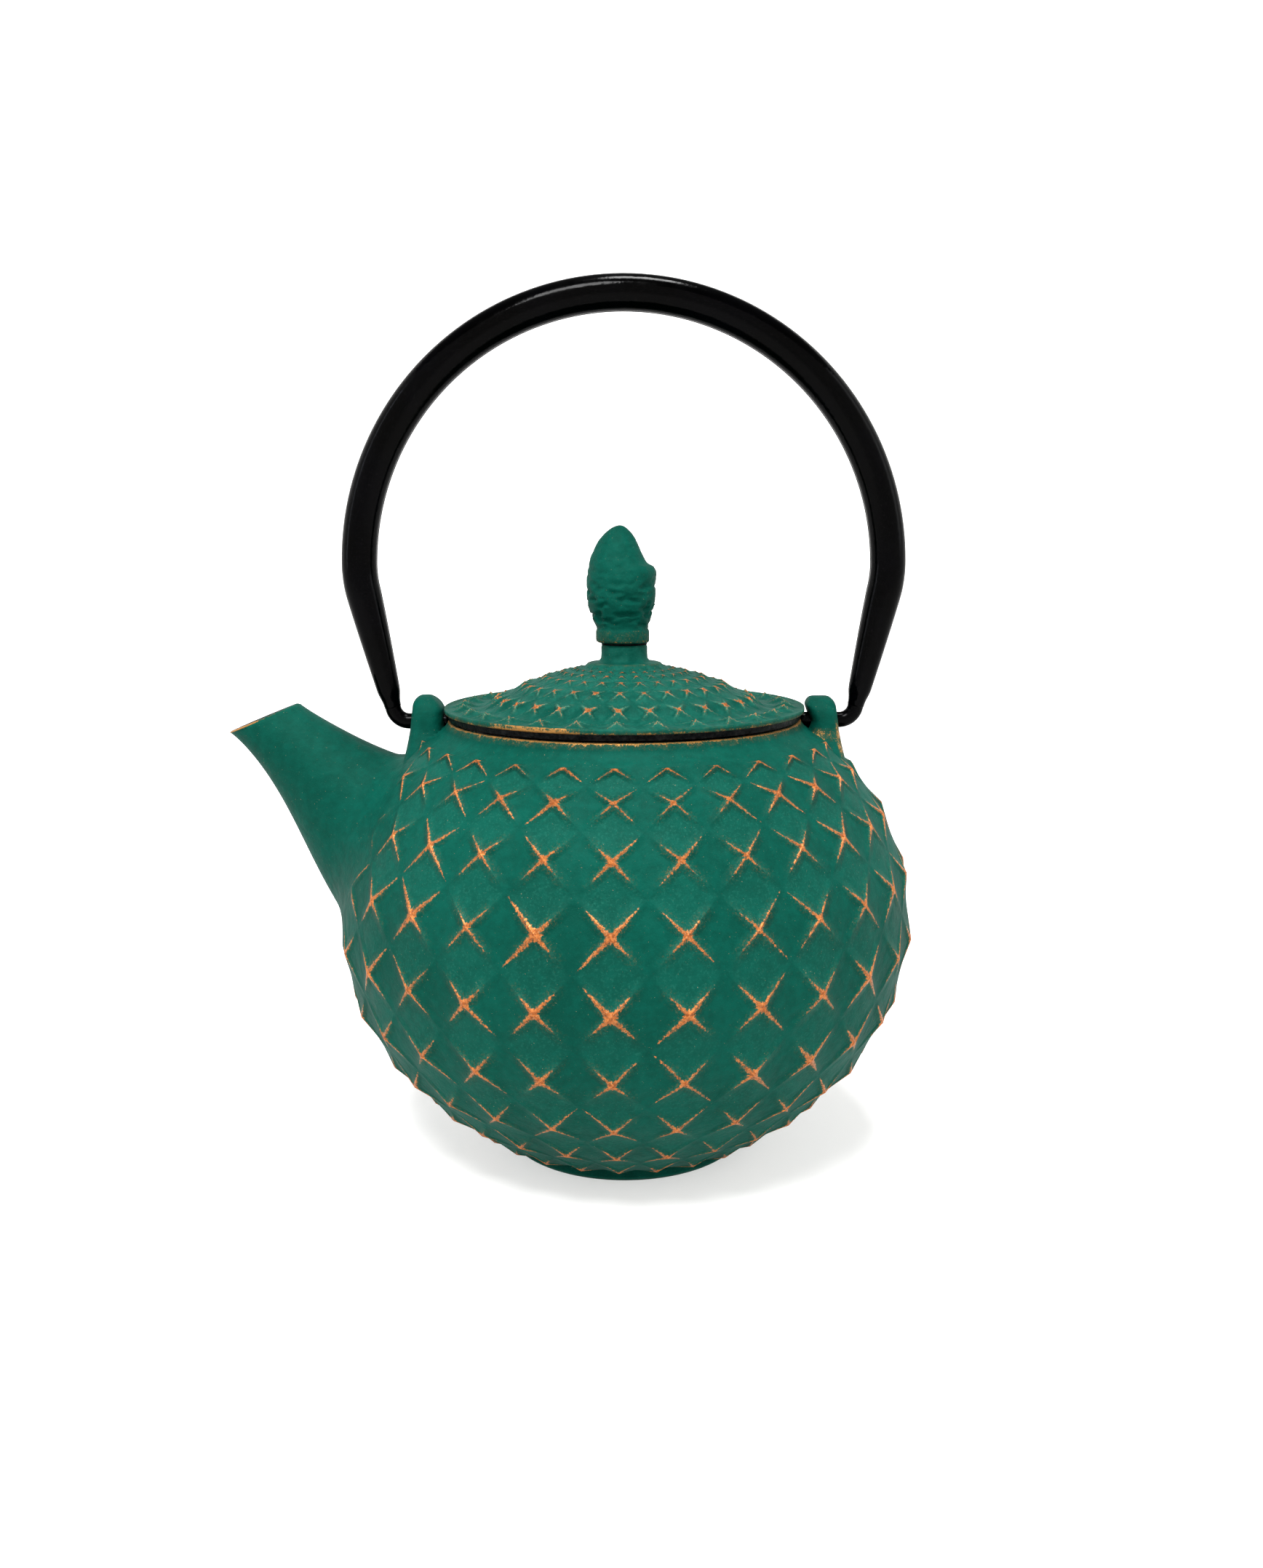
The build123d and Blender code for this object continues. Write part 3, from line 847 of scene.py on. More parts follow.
def lid_rings(azimuths):
    """The lid's rings from the middle of its underside, over the edge and up to the stem."""
    under = [(3.0, BOSS_BOTTOM), (7.6, BOSS_BOTTOM), (8.0, BOSS_BOTTOM + 0.4)]
    under += [(8.1, lid_under(8.1) - 0.4), (8.6, lid_under(8.6))]
    under += [(radius, lid_under(radius)) for radius in np.linspace(10.0, 32.4, 13)]
    under += [(SKIRT_INNER_RADIUS - 0.8, BRIM_UNDERSIDE + 0.7)]
    under += [(SKIRT_INNER_RADIUS, BRIM_UNDERSIDE - 0.1)]
    under += hanging_ridge(SKIRT_INNER_RADIUS, SKIRT_OUTER_RADIUS, SKIRT_BOTTOM, 0.4)
    under += [(SKIRT_OUTER_RADIUS, BRIM_UNDERSIDE - 0.7), (SKIRT_OUTER_RADIUS + 0.5, BRIM_UNDERSIDE)]
    under += [(42.0, BRIM_UNDERSIDE), (BRIM_LIP_INNER_RADIUS - 0.1, BRIM_UNDERSIDE)]
    under += hanging_ridge(BRIM_LIP_INNER_RADIUS, BRIM_LIP_OUTER_RADIUS, BRIM_LIP_BOTTOM, 0.1)
    under += [(BRIM_LIP_OUTER_RADIUS + 0.1, BRIM_UNDERSIDE - 0.1)]
    under += [(BRIM_LIP_OUTER_RADIUS + 0.2, BRIM_UNDERSIDE)]
    rings = [Ring(circle(radius, height, azimuths), 9.0, slot=1) for radius, height in under]
    signed = azimuths - 2 * math.pi * (azimuths > math.pi)
    ragged = smoothstep(-0.82, -0.55, signed) * smoothstep(-0.16, -0.34, signed)
    for radius, height, wear in LID_EDGE_OUTLINE:
        rings.append(Ring(circle(radius, height, azimuths), -1.5, 0.0, wear + 0.35 * ragged))
    columns = (azimuths - COLUMN_TURN) / CELL
    first, last = LID_ROWS
    for row in np.linspace(first, last, round((last - first) * LID_STEPS) + 1):
        radius = LID_ROW_RADIUS * math.exp(-LID_ROW_SHRINK * row)
        shown = float(smoothstep(45.6, 43.4, radius) * smoothstep(9.9, 11.5, radius))
        level = PLAIN_LEVEL + shown * (star_relief(columns, row) - PLAIN_LEVEL)
        relief = LID_RELIEF + (BRIM_RELIEF - LID_RELIEF) * float(smoothstep(31.5, 33.5, radius))
        room = lid_top(radius) - BRIM_UNDERSIDE - 0.6
        lift = (level - 1) * min(relief * radius * CELL, room)
        wear = 0.25 * float(smoothstep(45.4, 46.4, radius))
        points = circle(radius, lid_top(radius), azimuths)
        points[:, 2] += lift
        copper = shown * (0.55 + 0.45 * float(smoothstep(35.0, 33.0, radius)))
        rings.append(Ring(points, row, copper, wear))
    for radius, height, wear in STEM_OUTLINE:
        rings.append(Ring(circle(radius, height, azimuths), 5.0, 0.0, wear))
    return rings


def make_lid(paint, enamel):
    skin = Skin()
    rings = lid_rings(ring_azimuths(LID_STEPS))
    weave_rings(skin, rings, LID_STEPS)
    close_ring(skin, rings[0], (0, 0, BOSS_BOTTOM), last=False)
    close_ring(skin, rings[-1], (0, 0, STEM_TOP), last=True)
    return skin.make("lid_shell", [paint, enamel])


def make_knob(paint, enamel):
    """A bud on a collar. One side of the bud ends in a blunt step two thirds of the way up."""
    skin = Skin()
    turns = full_turn(KNOB_SIDES)
    heights, radii, shifts = np.array(KNOB_PROFILE).T
    bud_rows = np.linspace(heights[KNOB_COLLAR_ROWS], heights[-3], 84)
    rows, wears = [], []
    for place in np.concatenate([heights[:KNOB_COLLAR_ROWS], bud_rows, heights[-2:]]):
        height = float(place)
        radius = float(np.interp(height, heights, radii))
        shift = float(np.interp(height, heights, shifts))
        step = smoothstep(153.7, 152.7, height) * smoothstep(147.5, 152.0, height)
        facing = smoothstep(0.15, 0.85, np.cos(turns))
        out = radius + 1.1 * step * facing - 0.1 * step
        bud = float(smoothstep(136.8, 140.0, height) * smoothstep(163.0, 160.0, height))
        row = []
        for turn, reach in zip(turns, out):
            away = Vector((math.cos(turn), math.sin(turn), 0))
            spot = away * reach + Vector((0, 0, height))
            lump = noise.noise(spot * 0.22 + Vector((3.1, 1.7, 0.4)))
            dent = noise.noise(spot * Vector((0.42, 0.42, 0.75)) + Vector((9.0, 4.0, 2.0)))
            low = float(smoothstep(152.0, 141.0, height))
            reach += bud * (0.2 * lump + (0.25 + 1.6 * low) * min(dent + 0.05, 0.1))
            row.append((shift + away.x * reach, away.y * reach, height))
        rows.append(np.array(row))
        lower = 0.5 * smoothstep(133.6, 133.8, height) * smoothstep(134.6, 134.0, height)
        upper = 0.22 * smoothstep(136.0, 136.4, height) * smoothstep(136.9, 136.6, height)
        wears.append(np.full(KNOB_SIDES, float(lower + upper)))
    tip = (shifts[-1], 0, heights[-1] + 0.05)
    closed_tube(skin, rows, wears, (0, 0, STEM_TOP), tip, inner_rows=2)
    return skin.make("knob_bud", [paint, enamel])


# ---------------------------------------------------------------- handle


def arc(centre, bend_radius, turns, radius):
    """An arc's points (x, z), each with the rod's radius there."""
    x, z = centre
    spots = [(x + bend_radius * math.cos(turn), z + bend_radius * math.sin(turn)) for turn in turns]
    return [(*spot, radius) for spot in spots]


def leg_line():
    """On the +X side: the angle at which the top arc ends, and as (x, z) the centre of the
    bend under it, the bend's lower end and the leg's lower end."""
    arc_end = LEG_LEAN - BEND_TURN
    start = Vector((ARC_RADIUS * math.cos(arc_end), ARC_HEIGHT - ARC_RADIUS * math.sin(arc_end)))
    inward = Vector((-math.cos(arc_end), math.sin(arc_end)))
    centre = start + inward * BEND_RADIUS
    bend = centre + Vector((math.cos(LEG_LEAN), -math.sin(LEG_LEAN))) * BEND_RADIUS
    end_x = bend.x - (bend.y - LEG_END_HEIGHT) * math.tan(LEG_LEAN)
    return arc_end, centre, bend, Vector((end_x, LEG_END_HEIGHT))


def handle_path():
    """Points (x, z) with a radius, from the right leg's end over the top to the left one."""
    arc_end, centre, bend, end = leg_line()
    half = []
    for share in np.linspace(-0.05, 1, 36)[:-1]:
        place = end.lerp(bend, float(share))
        taper = 1 - (1 - max(0.0, float(share))) ** 1.2
        thin = 0.6 * float(smoothstep(0.11, -0.05, share))
        size = LEG_END_RADIUS + (TUBE_RADIUS - LEG_END_RADIUS) * taper - thin
        half.append((place.x, place.y, size))
    half += arc(centre, BEND_RADIUS, np.linspace(-LEG_LEAN, -arc_end, 9)[:-1], TUBE_RADIUS)
    turns = np.linspace(-arc_end, math.pi / 2, 49)
    half += arc((0.0, ARC_HEIGHT), ARC_RADIUS, turns, TUBE_RADIUS)
    return half + [(-x, z, radius) for x, z, radius in half[-2::-1]]


def rod_rows(path, sides, seam=0.0):
    """Rows of points round a path of (x, z, radius); seam is a groove's depth on the inside."""
    places = np.array([(x, z) for x, z, _ in path])
    way = unit(np.gradient(places, axis=0))
    turns = full_turn(sides)
    rows = []
    for (x, z, radius), (way_x, way_z) in zip(path, way):
        groove = seam * np.exp(-(((turns - math.pi) / 0.06) ** 2))
        reach = (radius - groove) * np.cos(turns)
        across = (radius - groove) * np.sin(turns)
        rows.append(np.stack([x + way_z * reach, across, z - way_x * reach], 1))
    return rows


def make_rod(name, path, sides, seam, paint):
    """A round rod along a path, with a slightly rounded edge at each end."""
    skin = Skin()
    ends = [Vector(path[0][:2]), Vector(path[-1][:2])]
    ways = [(ends[0] - Vector(path[1][:2])).normalized()]
    ways.append((ends[1] - Vector(path[-2][:2])).normalized())
    rounded = []
    for end, way, (_, _, radius) in zip(ends, ways, (path[0], path[-1])):
        lip = 0.25 * radius
        steps = [(0.5 * lip, radius - 0.12 * lip), (0.85 * lip, radius - 0.5 * lip)]
        steps.append((lip, radius - lip))
        rounded.append([(*(end + way * out), size) for out, size in steps])
    path = rounded[0][::-1] + list(path) + rounded[1]
    rows = rod_rows(path, sides, seam)
    wears = []
    for number, row in enumerate(rows):
        from_end = min(number, len(rows) - 1 - number)
        wears.append(np.full(sides, 0.35 * max(0.0, 1 - from_end / 5)))
    closed_tube(skin, rows, wears, *[(x, 0, z) for x, z, _ in (path[0], path[-1])])
    return skin.make(name, [paint])


def hook_path(side):
    """The hook's rod from inside the tube, round its bend and into the lug."""
    _, _, _, end = leg_line()
    slope = math.tan(LEG_LEAN)
    corner = Vector((end.x - (end.y - PIVOT_HEIGHT) * slope, PIVOT_HEIGHT))
    up = Vector((math.sin(LEG_LEAN), math.cos(LEG_LEAN)))
    half_turn = (math.pi / 2 + LEG_LEAN) / 2
    cut = HOOK_BEND_RADIUS / math.tan(half_turn)
    centre = Vector((corner.x - cut, PIVOT_HEIGHT + HOOK_BEND_RADIUS))
    path = [(*(end + up * out), HOOK_RADIUS) for out in (5.0, 2.5, 0.0)]
    turns = np.linspace(-LEG_LEAN, -math.pi / 2, 16)
    path += arc(centre, HOOK_BEND_RADIUS, turns, HOOK_RADIUS)
    for x in np.linspace(centre.x, HOOK_TIP_X, 10)[1:]:
        path.append((float(x), PIVOT_HEIGHT, HOOK_RADIUS))
    return [(side * x, z, radius) for x, z, radius in path]


# ---------------------------------------------------------------- infuser


def add_wire(skin, points, radius, closed):
    """A thin wire of four sides along a list of 3-D points."""
    points = np.array(points, float)
    if closed:
        way = np.roll(points, -1, axis=0) - np.roll(points, 1, axis=0)
    else:
        way = np.gradient(points, axis=0)
    way = unit(way)
    side = unit(np.cross(way, NO_WIRE_WAY))
    other = np.cross(way, side)
    first = len(skin.points)
    for place, a, b in zip(points, side, other):
        skin.add_points([place + radius * d for d in (a, b, -a, -b)])
    count = len(points)
    for number in range(count if closed else count - 1):
        low, high = first + 4 * number, first + 4 * ((number + 1) % count)
        bridge(skin, low, high, [0.0] * 4, [0.0] * 4)
    if not closed:
        last = first + 4 * (count - 1)
        skin.add_face((first + 3, first + 2, first + 1, first), [BLANK] * 4)
        skin.add_face((last, last + 1, last + 2, last + 3), [BLANK] * 4)


def make_basket_wall(steel):
    """Woven wire: upright wires pass in and out of level rings."""
    skin = Skin()
    low, high = basket_low.z + BASKET_FOOT_GAP, basket_high.z - BASKET_TOP_GAP
    rings = round((high - low) / WIRE_PITCH) + 1
    uprights = 2 * round(math.pi * (basket_high.x - WIRE_RADIUS) / WIRE_PITCH)
    slope = (BASKET_TOP_RADIUS - BASKET_BASE_RADIUS) / (high - low)

    def wire_point(turn, height, crossing, wave):
        radius = BASKET_BASE_RADIUS + (height - low) * slope - BASKET_INSET
        radius += wave * math.cos(math.pi * crossing)
        return (radius * math.cos(turn), radius * math.sin(turn), height)

    for number in range(uprights):
        turn = 2 * math.pi * number / uprights
        points = []
        for step in range(2 * rings - 1):
            height = low + (high - low) * step / (2 * rings - 2)
            points.append(wire_point(turn, height, step / 2 + number, WIRE_WAVE))
        add_wire(skin, points, WIRE_RADIUS, closed=False)
    for number, height in enumerate(np.linspace(low, high, rings)):
        points = []
        for step in range(2 * uprights):
            turn = math.pi * step / uprights
            points.append(wire_point(turn, height, step / 2 + number, -WIRE_WAVE))
        add_wire(skin, points, WIRE_RADIUS, closed=True)
    return skin.make("basket_wall", [steel])


def make_basket_base(steel):
    """A round piece of the same woven wire."""
    skin = Skin()
    count = int(BASKET_BASE_RADIUS / WIRE_PITCH)
    height = basket_low.z + BASKET_BASE_GAP
    for along_x in (True, False):
        for number in range(-count, count + 1):
            offset = number * WIRE_PITCH
            reach = math.sqrt(max(0.0, (BASKET_BASE_RADIUS - BASKET_BASE_GAP) ** 2 - offset**2))
            if reach < WIRE_PITCH:
                continue
            steps = int(2 * reach / WIRE_PITCH)
            points = []
            for step in range(-steps, steps + 1):
                place = step * WIRE_PITCH / 2
                wave = WIRE_WAVE * math.cos(math.pi * (step / 2 + number)) * (1 if along_x else -1)
                x, y = (place, offset) if along_x else (offset, place)
                points.append((x, y, height + wave))
            add_wire(skin, points, WIRE_RADIUS, closed=False)
    return skin.make("basket_base", [steel])


# ---------------------------------------------------------------- materials


class Graph:
    """The nodes of one material. Inputs are links from other nodes or plain values."""

    def __init__(self, name):
        self.material = bpy.data.materials.new(name)
        self.material.use_nodes = True
        self.tree = self.material.node_tree
        self.tree.nodes.clear()
        coordinates = self.node("ShaderNodeTexCoord")
        self.place = coordinates.outputs["Object"]

    def node(self, kind, inputs=(), **settings):
        made = self.tree.nodes.new(kind)
        for key, value in settings.items():
            setattr(made, key, value)
        for key, value in dict(inputs).items():
            if isinstance(value, bpy.types.NodeSocket):
                self.tree.links.new(value, made.inputs[key])
            else:
                made.inputs[key].default_value = value
        return made

    def math(self, operation, *values):
        return self.node("ShaderNodeMath", enumerate(values), operation=operation).outputs[0]

    def times(self, first, *others):
        for other in others:
            first = self.math("MULTIPLY", first, other)
        return first

    def most(self, first, second):
        return self.math("MAXIMUM", first, second)

    def ease(self, value, low, high, to_low=0.0, to_high=1.0):
        """A smooth step from to_low at low to to_high at high."""
        pairs = {0: value, 1: low, 2: high, 3: to_low, 4: to_high}
        step = self.node("ShaderNodeMapRange", pairs, interpolation_type="SMOOTHSTEP")
        return step.outputs[0]

    def noise(self, scale, detail, rough, place=None):
        pairs = {"Vector": place or self.place, "Scale": scale, "Detail": detail}
        pairs["Roughness"] = rough
        return self.node("ShaderNodeTexNoise", pairs).outputs[0]

    def patches(self, scale, detail, rough, low, high, to_low=0.0, to_high=1.0):
        """Noise with its contrast raised: to_low where it is below low, to_high above high."""
        return self.ease(self.noise(scale, detail, rough), low, high, to_low, to_high)

    def random(self, *parts):
        """A fixed random number from 0 to 1 for each set of whole numbers."""
        spot = self.node("ShaderNodeCombineXYZ", enumerate(parts)).outputs[0]
        return self.node("ShaderNodeTexWhiteNoise", {"Vector": spot}).outputs["Value"]

    def mix(self, factor, first, second):
        pairs = {0: factor, 6: first, 7: second}
        return self.node("ShaderNodeMix", pairs, data_type="RGBA").outputs[2]

    def bump(self, height, distance, under=None):
        pairs = {"Height": height, "Distance": distance, "Strength": 1.0}
        if under is not None:
            pairs["Normal"] = under
        return self.node("ShaderNodeBump", pairs).outputs[0]

    def surface(self, **inputs):
        pairs = {key.replace("_", " "): value for key, value in inputs.items()}
        shader = self.node("ShaderNodeBsdfPrincipled", pairs)
        self.node("ShaderNodeOutputMaterial", {"Surface": shader.outputs[0]})
        return self.material


def attribute(graph, name):
    return graph.node("ShaderNodeAttribute", attribute_name=name)


def star_masks(graph, arm_width, arm_length):
    """Masks from 0 to 1, from the lattice: copper on each star's four arms, the faint smear
    round it, the ribs between the facets, and the facets above and below each star."""
    parts = graph.node("ShaderNodeSeparateXYZ", {0: attribute(graph, "lattice").outputs["Vector"]})
    column, row, shown = parts.outputs

    # The nearest star, the way to it in cells, and the place along and beside its nearest arm.
    near_column = graph.math("FLOOR", graph.math("ADD", column, 0.5))
    near_row = graph.math("FLOOR", graph.math("ADD", row, 0.5))
    across = graph.math("SUBTRACT", column, near_column)
    up = graph.math("SUBTRACT", row, near_row)
    rising = graph.math("ABSOLUTE", graph.math("ADD", across, up))
    falling = graph.math("ABSOLUTE", graph.math("SUBTRACT", across, up))
    along = graph.most(rising, falling)
    beside = graph.math("MINIMUM", rising, falling)

    # A random number for each arm, 0 to 3, and one for each star.
    wrapped = graph.math("WRAP", near_column, float(COLUMNS), 0.0)
    on_rising = graph.math("GREATER_THAN", rising, falling)
    arm = graph.math("MULTIPLY_ADD", on_rising, 2.0, graph.math("GREATER_THAN", across, 0.0))
    own = graph.random(wrapped, near_row, graph.math("ADD", arm, 1.0))
    star = graph.random(wrapped, near_row, 9.0)

    # Copper tapers to the end of each arm and fills the heart where the arms meet. Its edge is
    # ragged, and paint is left in gaps of it outside the heart.
    reach = graph.times(graph.math("MULTIPLY_ADD", own, 0.75, 0.5), arm_length)
    left = graph.math("DIVIDE", graph.math("SUBTRACT", reach, along), reach)
    taper = graph.math("POWER", graph.most(left, 0.0), 0.8)
    fullness = graph.math("MULTIPLY_ADD", star, 0.7, 0.55)
    width = graph.times(taper, arm_width, fullness, graph.math("POWER", shown, 2.0))
    heart = graph.math("MULTIPLY_ADD", star, 0.7 * arm_width, 1.3 * arm_width)
    heart = graph.times(heart, graph.math("MULTIPLY_ADD", shown, 1.6, -0.6))
    heart = graph.math("SUBTRACT", graph.math("SUBTRACT", heart, along), arm_width * 0.2)
    inside = graph.most(graph.math("SUBTRACT", width, beside), heart)
    ragged = graph.math("SUBTRACT", graph.noise(1500.0, 5.0, 0.78), 0.5)
    inside = graph.math("ADD", inside, graph.times(ragged, 3.2 * arm_width))
    gaps = graph.patches(2600.0, 3.0, 0.7, 0.36, 0.5)
    solid = graph.most(gaps, graph.ease(along, 0.22, 0.08))
    arms = graph.times(graph.ease(inside, -0.006, 0.016), graph.ease(left, 0.0, 0.12), solid, shown)

    # The smear round a star, the ribs between facets, and the facets above and below a star.
    speckle = graph.patches(1900.0, 3.0, 0.75, 0.52, 0.66)
    halo = graph.times(graph.ease(beside, 0.2, 0.03), graph.ease(along, 0.85, 0.25))
    smear = graph.times(speckle, halo, shown, 0.6)
    rib = graph.math("POWER", graph.most(graph.math("MULTIPLY_ADD", beside, -5.5, 1.0), 0.0), 1.4)
    rib = graph.times(rib, graph.ease(along, 1.0, 0.1, 0.06, 1.0), shown)
    upright = graph.math("SUBTRACT", graph.math("ABSOLUTE", up), graph.math("ABSOLUTE", across))
    return arms, smear, rib, graph.times(graph.ease(upright, -0.04, 0.12), shown)


def green_paint(
    name, arm_width=0.0, arm_length=0.0, rib_height=0.0, ridge_rub_and_highlight=0.0, grain=1.0, dust_and_sheen=DUSTING
):
    """Matte green on cast iron, with copper on the stars and on worn edges."""
    graph = Graph(name)
    fine = graph.noise(3200.0, 2.0, 0.6)
    tone = graph.math("ADD", graph.noise(38.0, 3.0, 0.55), graph.noise(420.0, 3.0, 0.6))
    paint = graph.mix(graph.ease(tone, 0.7, 1.32), GREEN_DEEP, GREEN_LIGHT)
    pale = graph.ease(fine, 0.56, 0.8, 0.0, dust_and_sheen)
    # Large pale patches add to the share above the plain dust: on the lid, partly dust and partly a
    # painted sheen on its upward-facing top.
    pale = graph.math("ADD", pale, graph.ease(tone, 0.9, 1.25, 0.0, dust_and_sheen - DUSTING))
    stars, smear, rib = 0.0, 0.0, 0.0
    if arm_width:
        stars, smear, rib, upright = star_masks(graph, arm_width, arm_length)
        dusty = graph.patches(1700.0, 3.0, 0.7, 0.5, 0.7, 0.08, 0.5)
        pale = graph.most(pale, graph.times(upright, dusty))
    paint = graph.mix(pale, paint, GREEN_DUST)
    dust = graph.patches(2300.0, 2.0, 0.8, 0.7, 0.78, 0.0, 0.5)
    paint = graph.mix(dust, paint, FLECK)

    worn = attribute(graph, "wear").outputs["Fac"]
    patches = graph.math("MULTIPLY_ADD", graph.noise(480.0, 3.0, 0.6), 0.7, -0.35)
    specks = graph.math("MULTIPLY_ADD", graph.noise(1900.0, 4.0, 0.75), 1.3, -0.65)
    rough_edge = graph.times(graph.math("ADD", patches, specks), graph.ease(worn, 0.0, 0.15))
    worn = graph.math("ADD", worn, rough_edge)
    rubbed = graph.ease(worn, 0.44, 0.6)

    metal = graph.mix(graph.patches(1500.0, 3.0, 0.7, 0.35, 0.65), COPPER_DEEP, COPPER_LIGHT)
    metal = graph.mix(graph.patches(2700.0, 3.0, 0.8, 0.56, 0.68, 0.0, 0.65), metal, FLECK)
    colour = graph.mix(graph.ease(worn, 0.12, 0.6, 0.0, 0.35), paint, COPPER_DUST)
    if arm_width:
        colour = graph.mix(smear, colour, COPPER_DUST)
        # The crests of the ribs turn pale: partly rubbed paint, partly a painted highlight along
        # them.
        crest_rub_and_highlight = graph.ease(rib, 0.1, 0.9, 0.0, ridge_rub_and_highlight)
        crest_rub_and_highlight = graph.times(crest_rub_and_highlight, graph.patches(1400.0, 3.0, 0.7, 0.35, 0.6))
        colour = graph.mix(crest_rub_and_highlight, colour, GREEN_RIDGE_RUB_AND_HIGHLIGHT)
        colour = graph.mix(stars, colour, metal)
    colour = graph.mix(rubbed, colour, graph.mix(0.6, metal, GOLD_WEAR))
    copper = graph.most(stars, rubbed)

    height = graph.math("ADD", graph.times(fine, 0.6), graph.noise(1300.0, 3.0, 0.6))
    normal = graph.bump(height, 0.00011 * grain)
    normal = graph.bump(graph.noise(210.0, 2.0, 0.5), 0.0005 * grain, under=normal)
    if arm_width:
        normal = graph.bump(rib, rib_height, under=normal)
    return graph.surface(
        Base_Color=colour,
        Metallic=graph.times(copper, 0.45),
        Roughness=graph.math("MULTIPLY_ADD", copper, -0.16, 0.6),
        Specular_IOR_Level=0.03,
        Normal=normal,
    )


def black_enamel(name):
    """The dark, slightly uneven enamel inside the pot and under the lid."""
    graph = Graph(name)
    speck = graph.noise(900.0, 3.0, 0.6)
    colour = graph.mix(graph.ease(speck, 0.4, 0.75), ENAMEL_DEEP, ENAMEL_LIGHT)
    return graph.surface(
        Base_Color=colour,
        Roughness=graph.ease(speck, 0.3, 0.7, 0.32, 0.48),
        Specular_IOR_Level=0.05,
        Normal=graph.bump(graph.noise(500.0, 3.0, 0.6), 0.0003),
    )


def black_paint(name, rough):
    """Satin black on steel, rubbed to brown at the rod's ends."""
    graph = Graph(name)
    cloud = graph.noise(60.0, 3.0, 0.6)
    speck = graph.noise(1800.0, 2.0, 0.6)
    paint = graph.mix(graph.ease(cloud, 0.35, 0.7), BLACK_DEEP, BLACK_LIGHT)
    paint = graph.mix(graph.ease(speck, 0.64, 0.76, 0.0, 0.1), paint, BLACK_SPECK)
    worn = attribute(graph, "wear").outputs["Fac"]
    worn = graph.times(worn, graph.noise(900.0, 3.0, 0.7))
    colour = graph.mix(graph.ease(worn, 0.12, 0.22), paint, BLACK_RUBBED)
    return graph.surface(
        Base_Color=colour,
        Roughness=graph.patches(140.0, 3.0, 0.6, 0.3, 0.7, rough - 0.03, rough + 0.05),
        Specular_IOR_Level=0.03,
        Normal=graph.bump(graph.noise(700.0, 2.0, 0.5), 0.00004),
    )


def steel(name, tint, rough, stretch):
    """Brushed or drawn steel; stretch squeezes the grain along Z."""
    graph = Graph(name)
    mapping = graph.node("ShaderNodeMapping", {"Vector": graph.place, "Scale": (1, 1, stretch)})
    grain = graph.noise(600.0, 4.0, 0.7, mapping.outputs[0])
    stain = graph.noise(90.0, 3.0, 0.6)
    dark = tuple(0.72 * part for part in tint) + (1,)
    colour = graph.mix(graph.ease(stain, 0.3, 0.7), dark, tuple(tint) + (1,))
    return graph.surface(
        Base_Color=colour,
        Metallic=1.0,
        Roughness=graph.ease(grain, 0.3, 0.7, rough - 0.07, rough + 0.1),
        Normal=graph.bump(grain, 0.00006),
    )


def backdrop_white(name):
    """A faintly mottled white that glows a little more the further out it lies."""
    graph = Graph(name)
    tone = graph.patches(1.6, 2.0, 0.5, 0.3, 0.7)
    colour = graph.mix(tone, BACKDROP_DEEP, BACKDROP_LIGHT)
    away = graph.node("ShaderNodeVectorMath", {0: graph.place}, operation="LENGTH")
    return graph.surface(
        Base_Color=colour,
        Roughness=0.9,
        Specular_IOR_Level=0.1,
        Emission_Color=BACKDROP_GLOW,
        Emission_Strength=graph.ease(away.outputs["Value"], 0.3, 1.5, 0.48, 0.85),
    )


# ---------------------------------------------------------------- pieces on their bodies


def put(piece, body, slot, *nodes):
    """Rides a piece on its body and hides the CAD nodes that it stands for; slot is not used."""
    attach(piece, body)
    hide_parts(*nodes)


enamel = black_enamel("black_enamel")
# The last number is how pale the rib crests turn, partly rubbed paint and partly painted highlight;
# the lid's is much stronger.
pot_paint = green_paint("pot_green", 0.054, 0.78, 0.0011, 0.2)
# The lid's larger share of pale is partly dust and partly painted sheen on its upward-facing top.
lid_paint = green_paint("lid_green", 0.07, 0.43, 0.0008, 0.75, grain=0.9, dust_and_sheen=0.55)
knob_paint = green_paint("knob_green", grain=1.4)
tube_paint = black_paint("tube_black", 0.13)
hook_paint = black_paint("hook_black", 0.2)
wire_steel = steel("wire_steel", (0.6, 0.6, 0.59), 0.3, 1.0)
# The infuser's rim gets a near-black steel: painted shade for the dark gap under the lid's edge,
# where the rim sits.
rim_steel_painted_shade = steel("rim_steel_painted_shade", (0.1, 0.1, 0.1), 0.3, 9.0)
sheet_steel = steel("sheet_steel", (0.6, 0.6, 0.6), 0.24, 9.0)
screw_steel = steel("screw_steel", (0.6, 0.59, 0.56), 0.33, 1.0)

put(make_pot(pot_paint, enamel), "pot", "pot_enamelled_iron", "pot_casting")
put(make_lid(lid_paint, enamel), "lid", "lid_enamelled_iron", "lid_casting")
put(make_knob(knob_paint, enamel), "lid", "knob_iron", "lid_knob")
tube = make_rod("handle_rod", handle_path(), 64, 0.3, tube_paint)
put(tube, "handle", "handle_black_paint", "handle_tube")
for side, word in ((-1, "left"), (1, "right")):
    path = hook_path(side)
    hook = make_rod(f"hook_{word}", path if side > 0 else path[::-1], 32, 0.0, hook_paint)
    put(hook, "handle", "hook_black_paint", f"handle_hook_{word}")
put(make_basket_wall(wire_steel), "infuser", "infuser_mesh", "infuser_mesh_wall")
put(make_basket_base(wire_steel), "infuser", "infuser_mesh", "infuser_mesh_base")

for name, material in (
    ("infuser_rim", rim_steel_painted_shade),
    ("infuser_base_ring", sheet_steel),
    ("knob_screw", screw_steel),
    ("knob_washer", screw_steel),
):
    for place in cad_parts[name].material_slots:
        place.material = material


# ---------------------------------------------------------------- stage, lights and camera


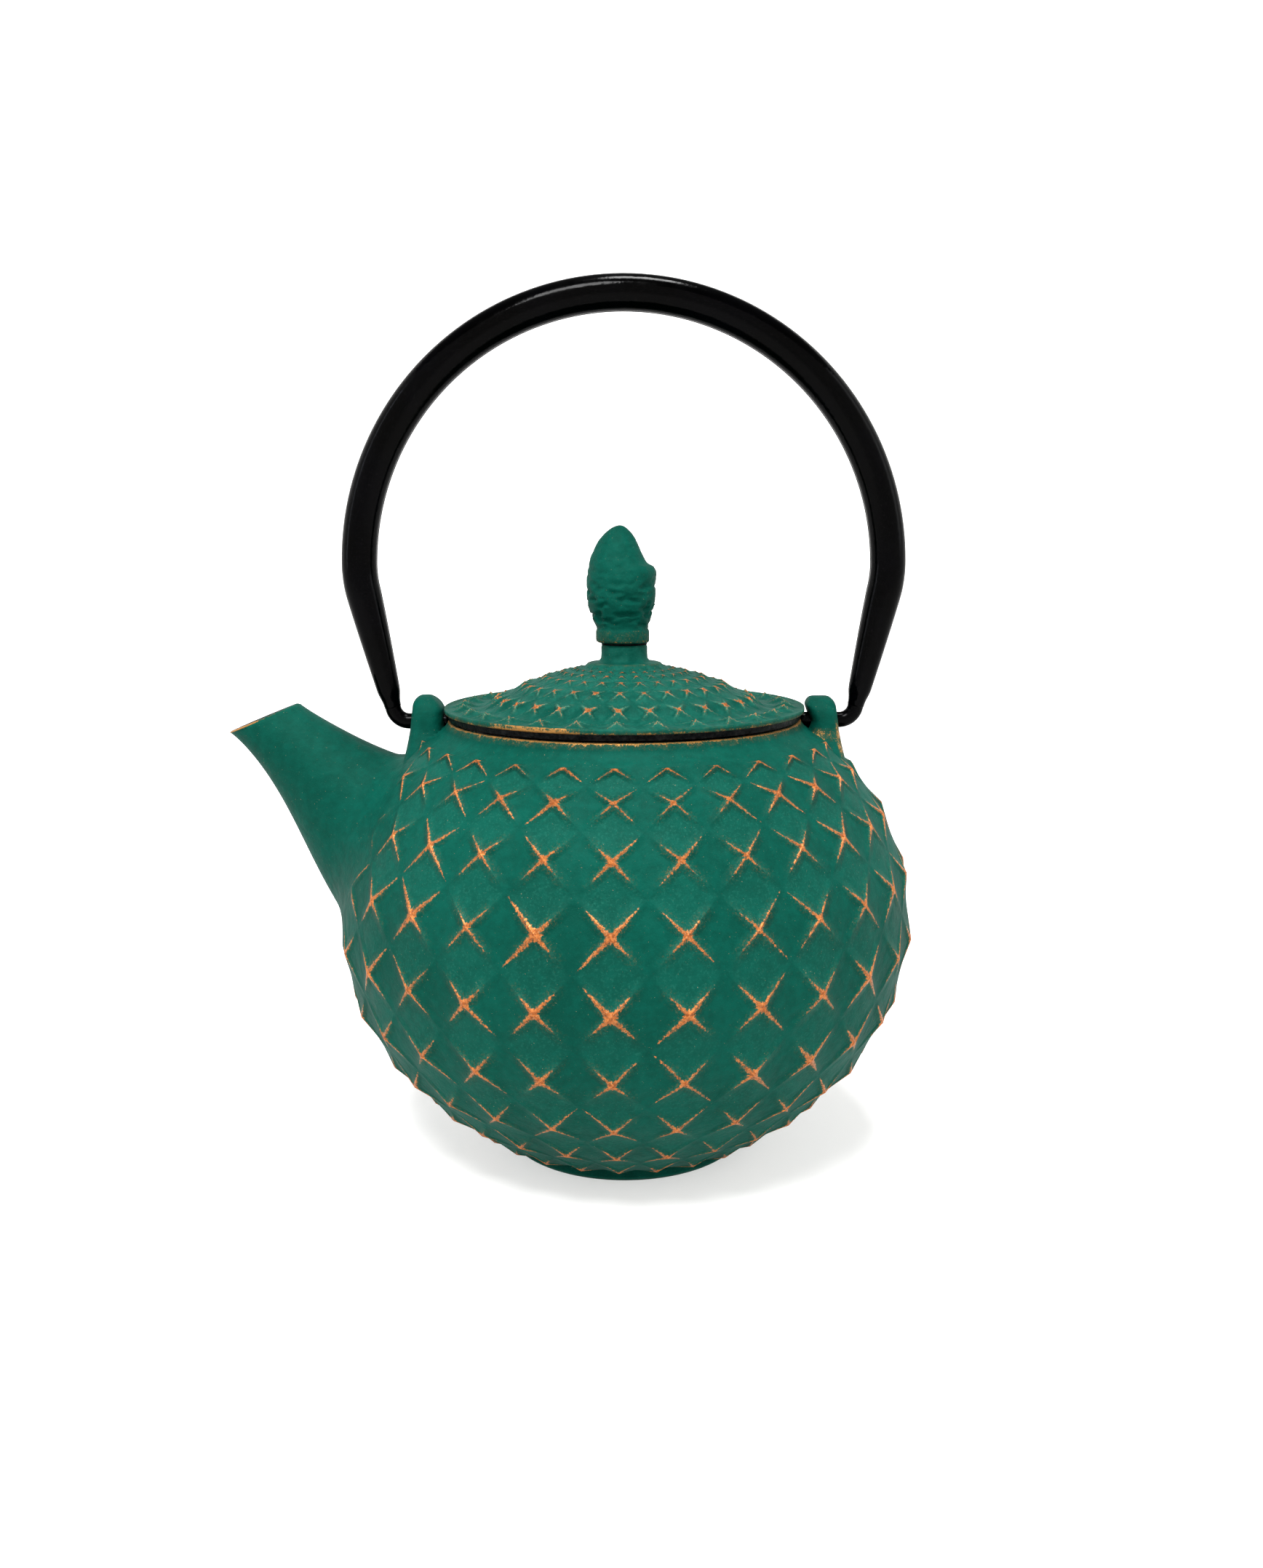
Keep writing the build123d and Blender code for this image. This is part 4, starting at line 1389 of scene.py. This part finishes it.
def make_backdrop(material):
    """A round floor that curves up into a wall, open at the top."""
    outline = [(radius, 0.0) for radius in (0.25, 0.6, 1.1, FLOOR_RADIUS)]
    for turn in np.linspace(0, math.pi / 2, 13)[1:]:
        rise = WALL_CURVE * (1 - math.cos(turn))
        outline.append((FLOOR_RADIUS + WALL_CURVE * math.sin(turn), rise))
    outline += [(FLOOR_RADIUS + WALL_CURVE, height) for height in (1.6, 2.4)]
    skin = Skin()
    turns = full_turn(WALL_SIDES)
    rows = [circle(radius / MM, height / MM, turns) for radius, height in outline]
    starts = weave_tube(skin, rows, [np.zeros(WALL_SIDES)] * len(rows), [0] * (len(rows) - 1))
    cap_row(skin, starts[0], WALL_SIDES, (0, 0, 0), last=False)
    backdrop = skin.make("backdrop", [material])
    backdrop.data.flip_normals()
    return backdrop


def add_area(name, place, aim, size, power, colour):
    light = bpy.data.lights.new(name, "AREA")
    light.shape = "RECTANGLE"
    light.size, light.size_y = size
    light.energy = power
    light.color = colour
    lamp = bpy.data.objects.new(name, light)
    lamp.location = place
    way = Vector(aim) - Vector(place)
    lamp.rotation_euler = way.to_track_quat("-Z", "Y").to_euler()
    bpy.context.scene.collection.objects.link(lamp)


scene = bpy.context.scene
make_backdrop(backdrop_white("backdrop_white"))
middle = (cad_low + cad_high) / 2
for name, place, size, power, colour in LIGHTS:
    add_area(name, place, middle, size, power, colour)

world = bpy.data.worlds.new("studio")
world.use_nodes = True
sky = world.node_tree.nodes["Background"]
sky.inputs["Color"].default_value = SKY_COLOUR
sky.inputs["Strength"].default_value = SKY_STRENGTH
scene.world = world
scene.view_settings.view_transform = "Standard"

lens = bpy.data.cameras.new("camera")
lens.lens = LENS
lens.sensor_width = SENSOR_WIDTH
lens.clip_start = 0.02
camera = bpy.data.objects.new("camera", lens)
scene.collection.objects.link(camera)
camera.location = CAMERA_PLACE
yaw, pitch, roll = (math.radians(angle) for angle in CAMERA_TURN)
turn = Matrix.Rotation(-yaw, 4, "Z") @ Matrix.Rotation(math.pi / 2 - pitch, 4, "X")
camera.rotation_euler = (turn @ Matrix.Rotation(roll, 4, "Z")).to_euler()
scene.camera = camera
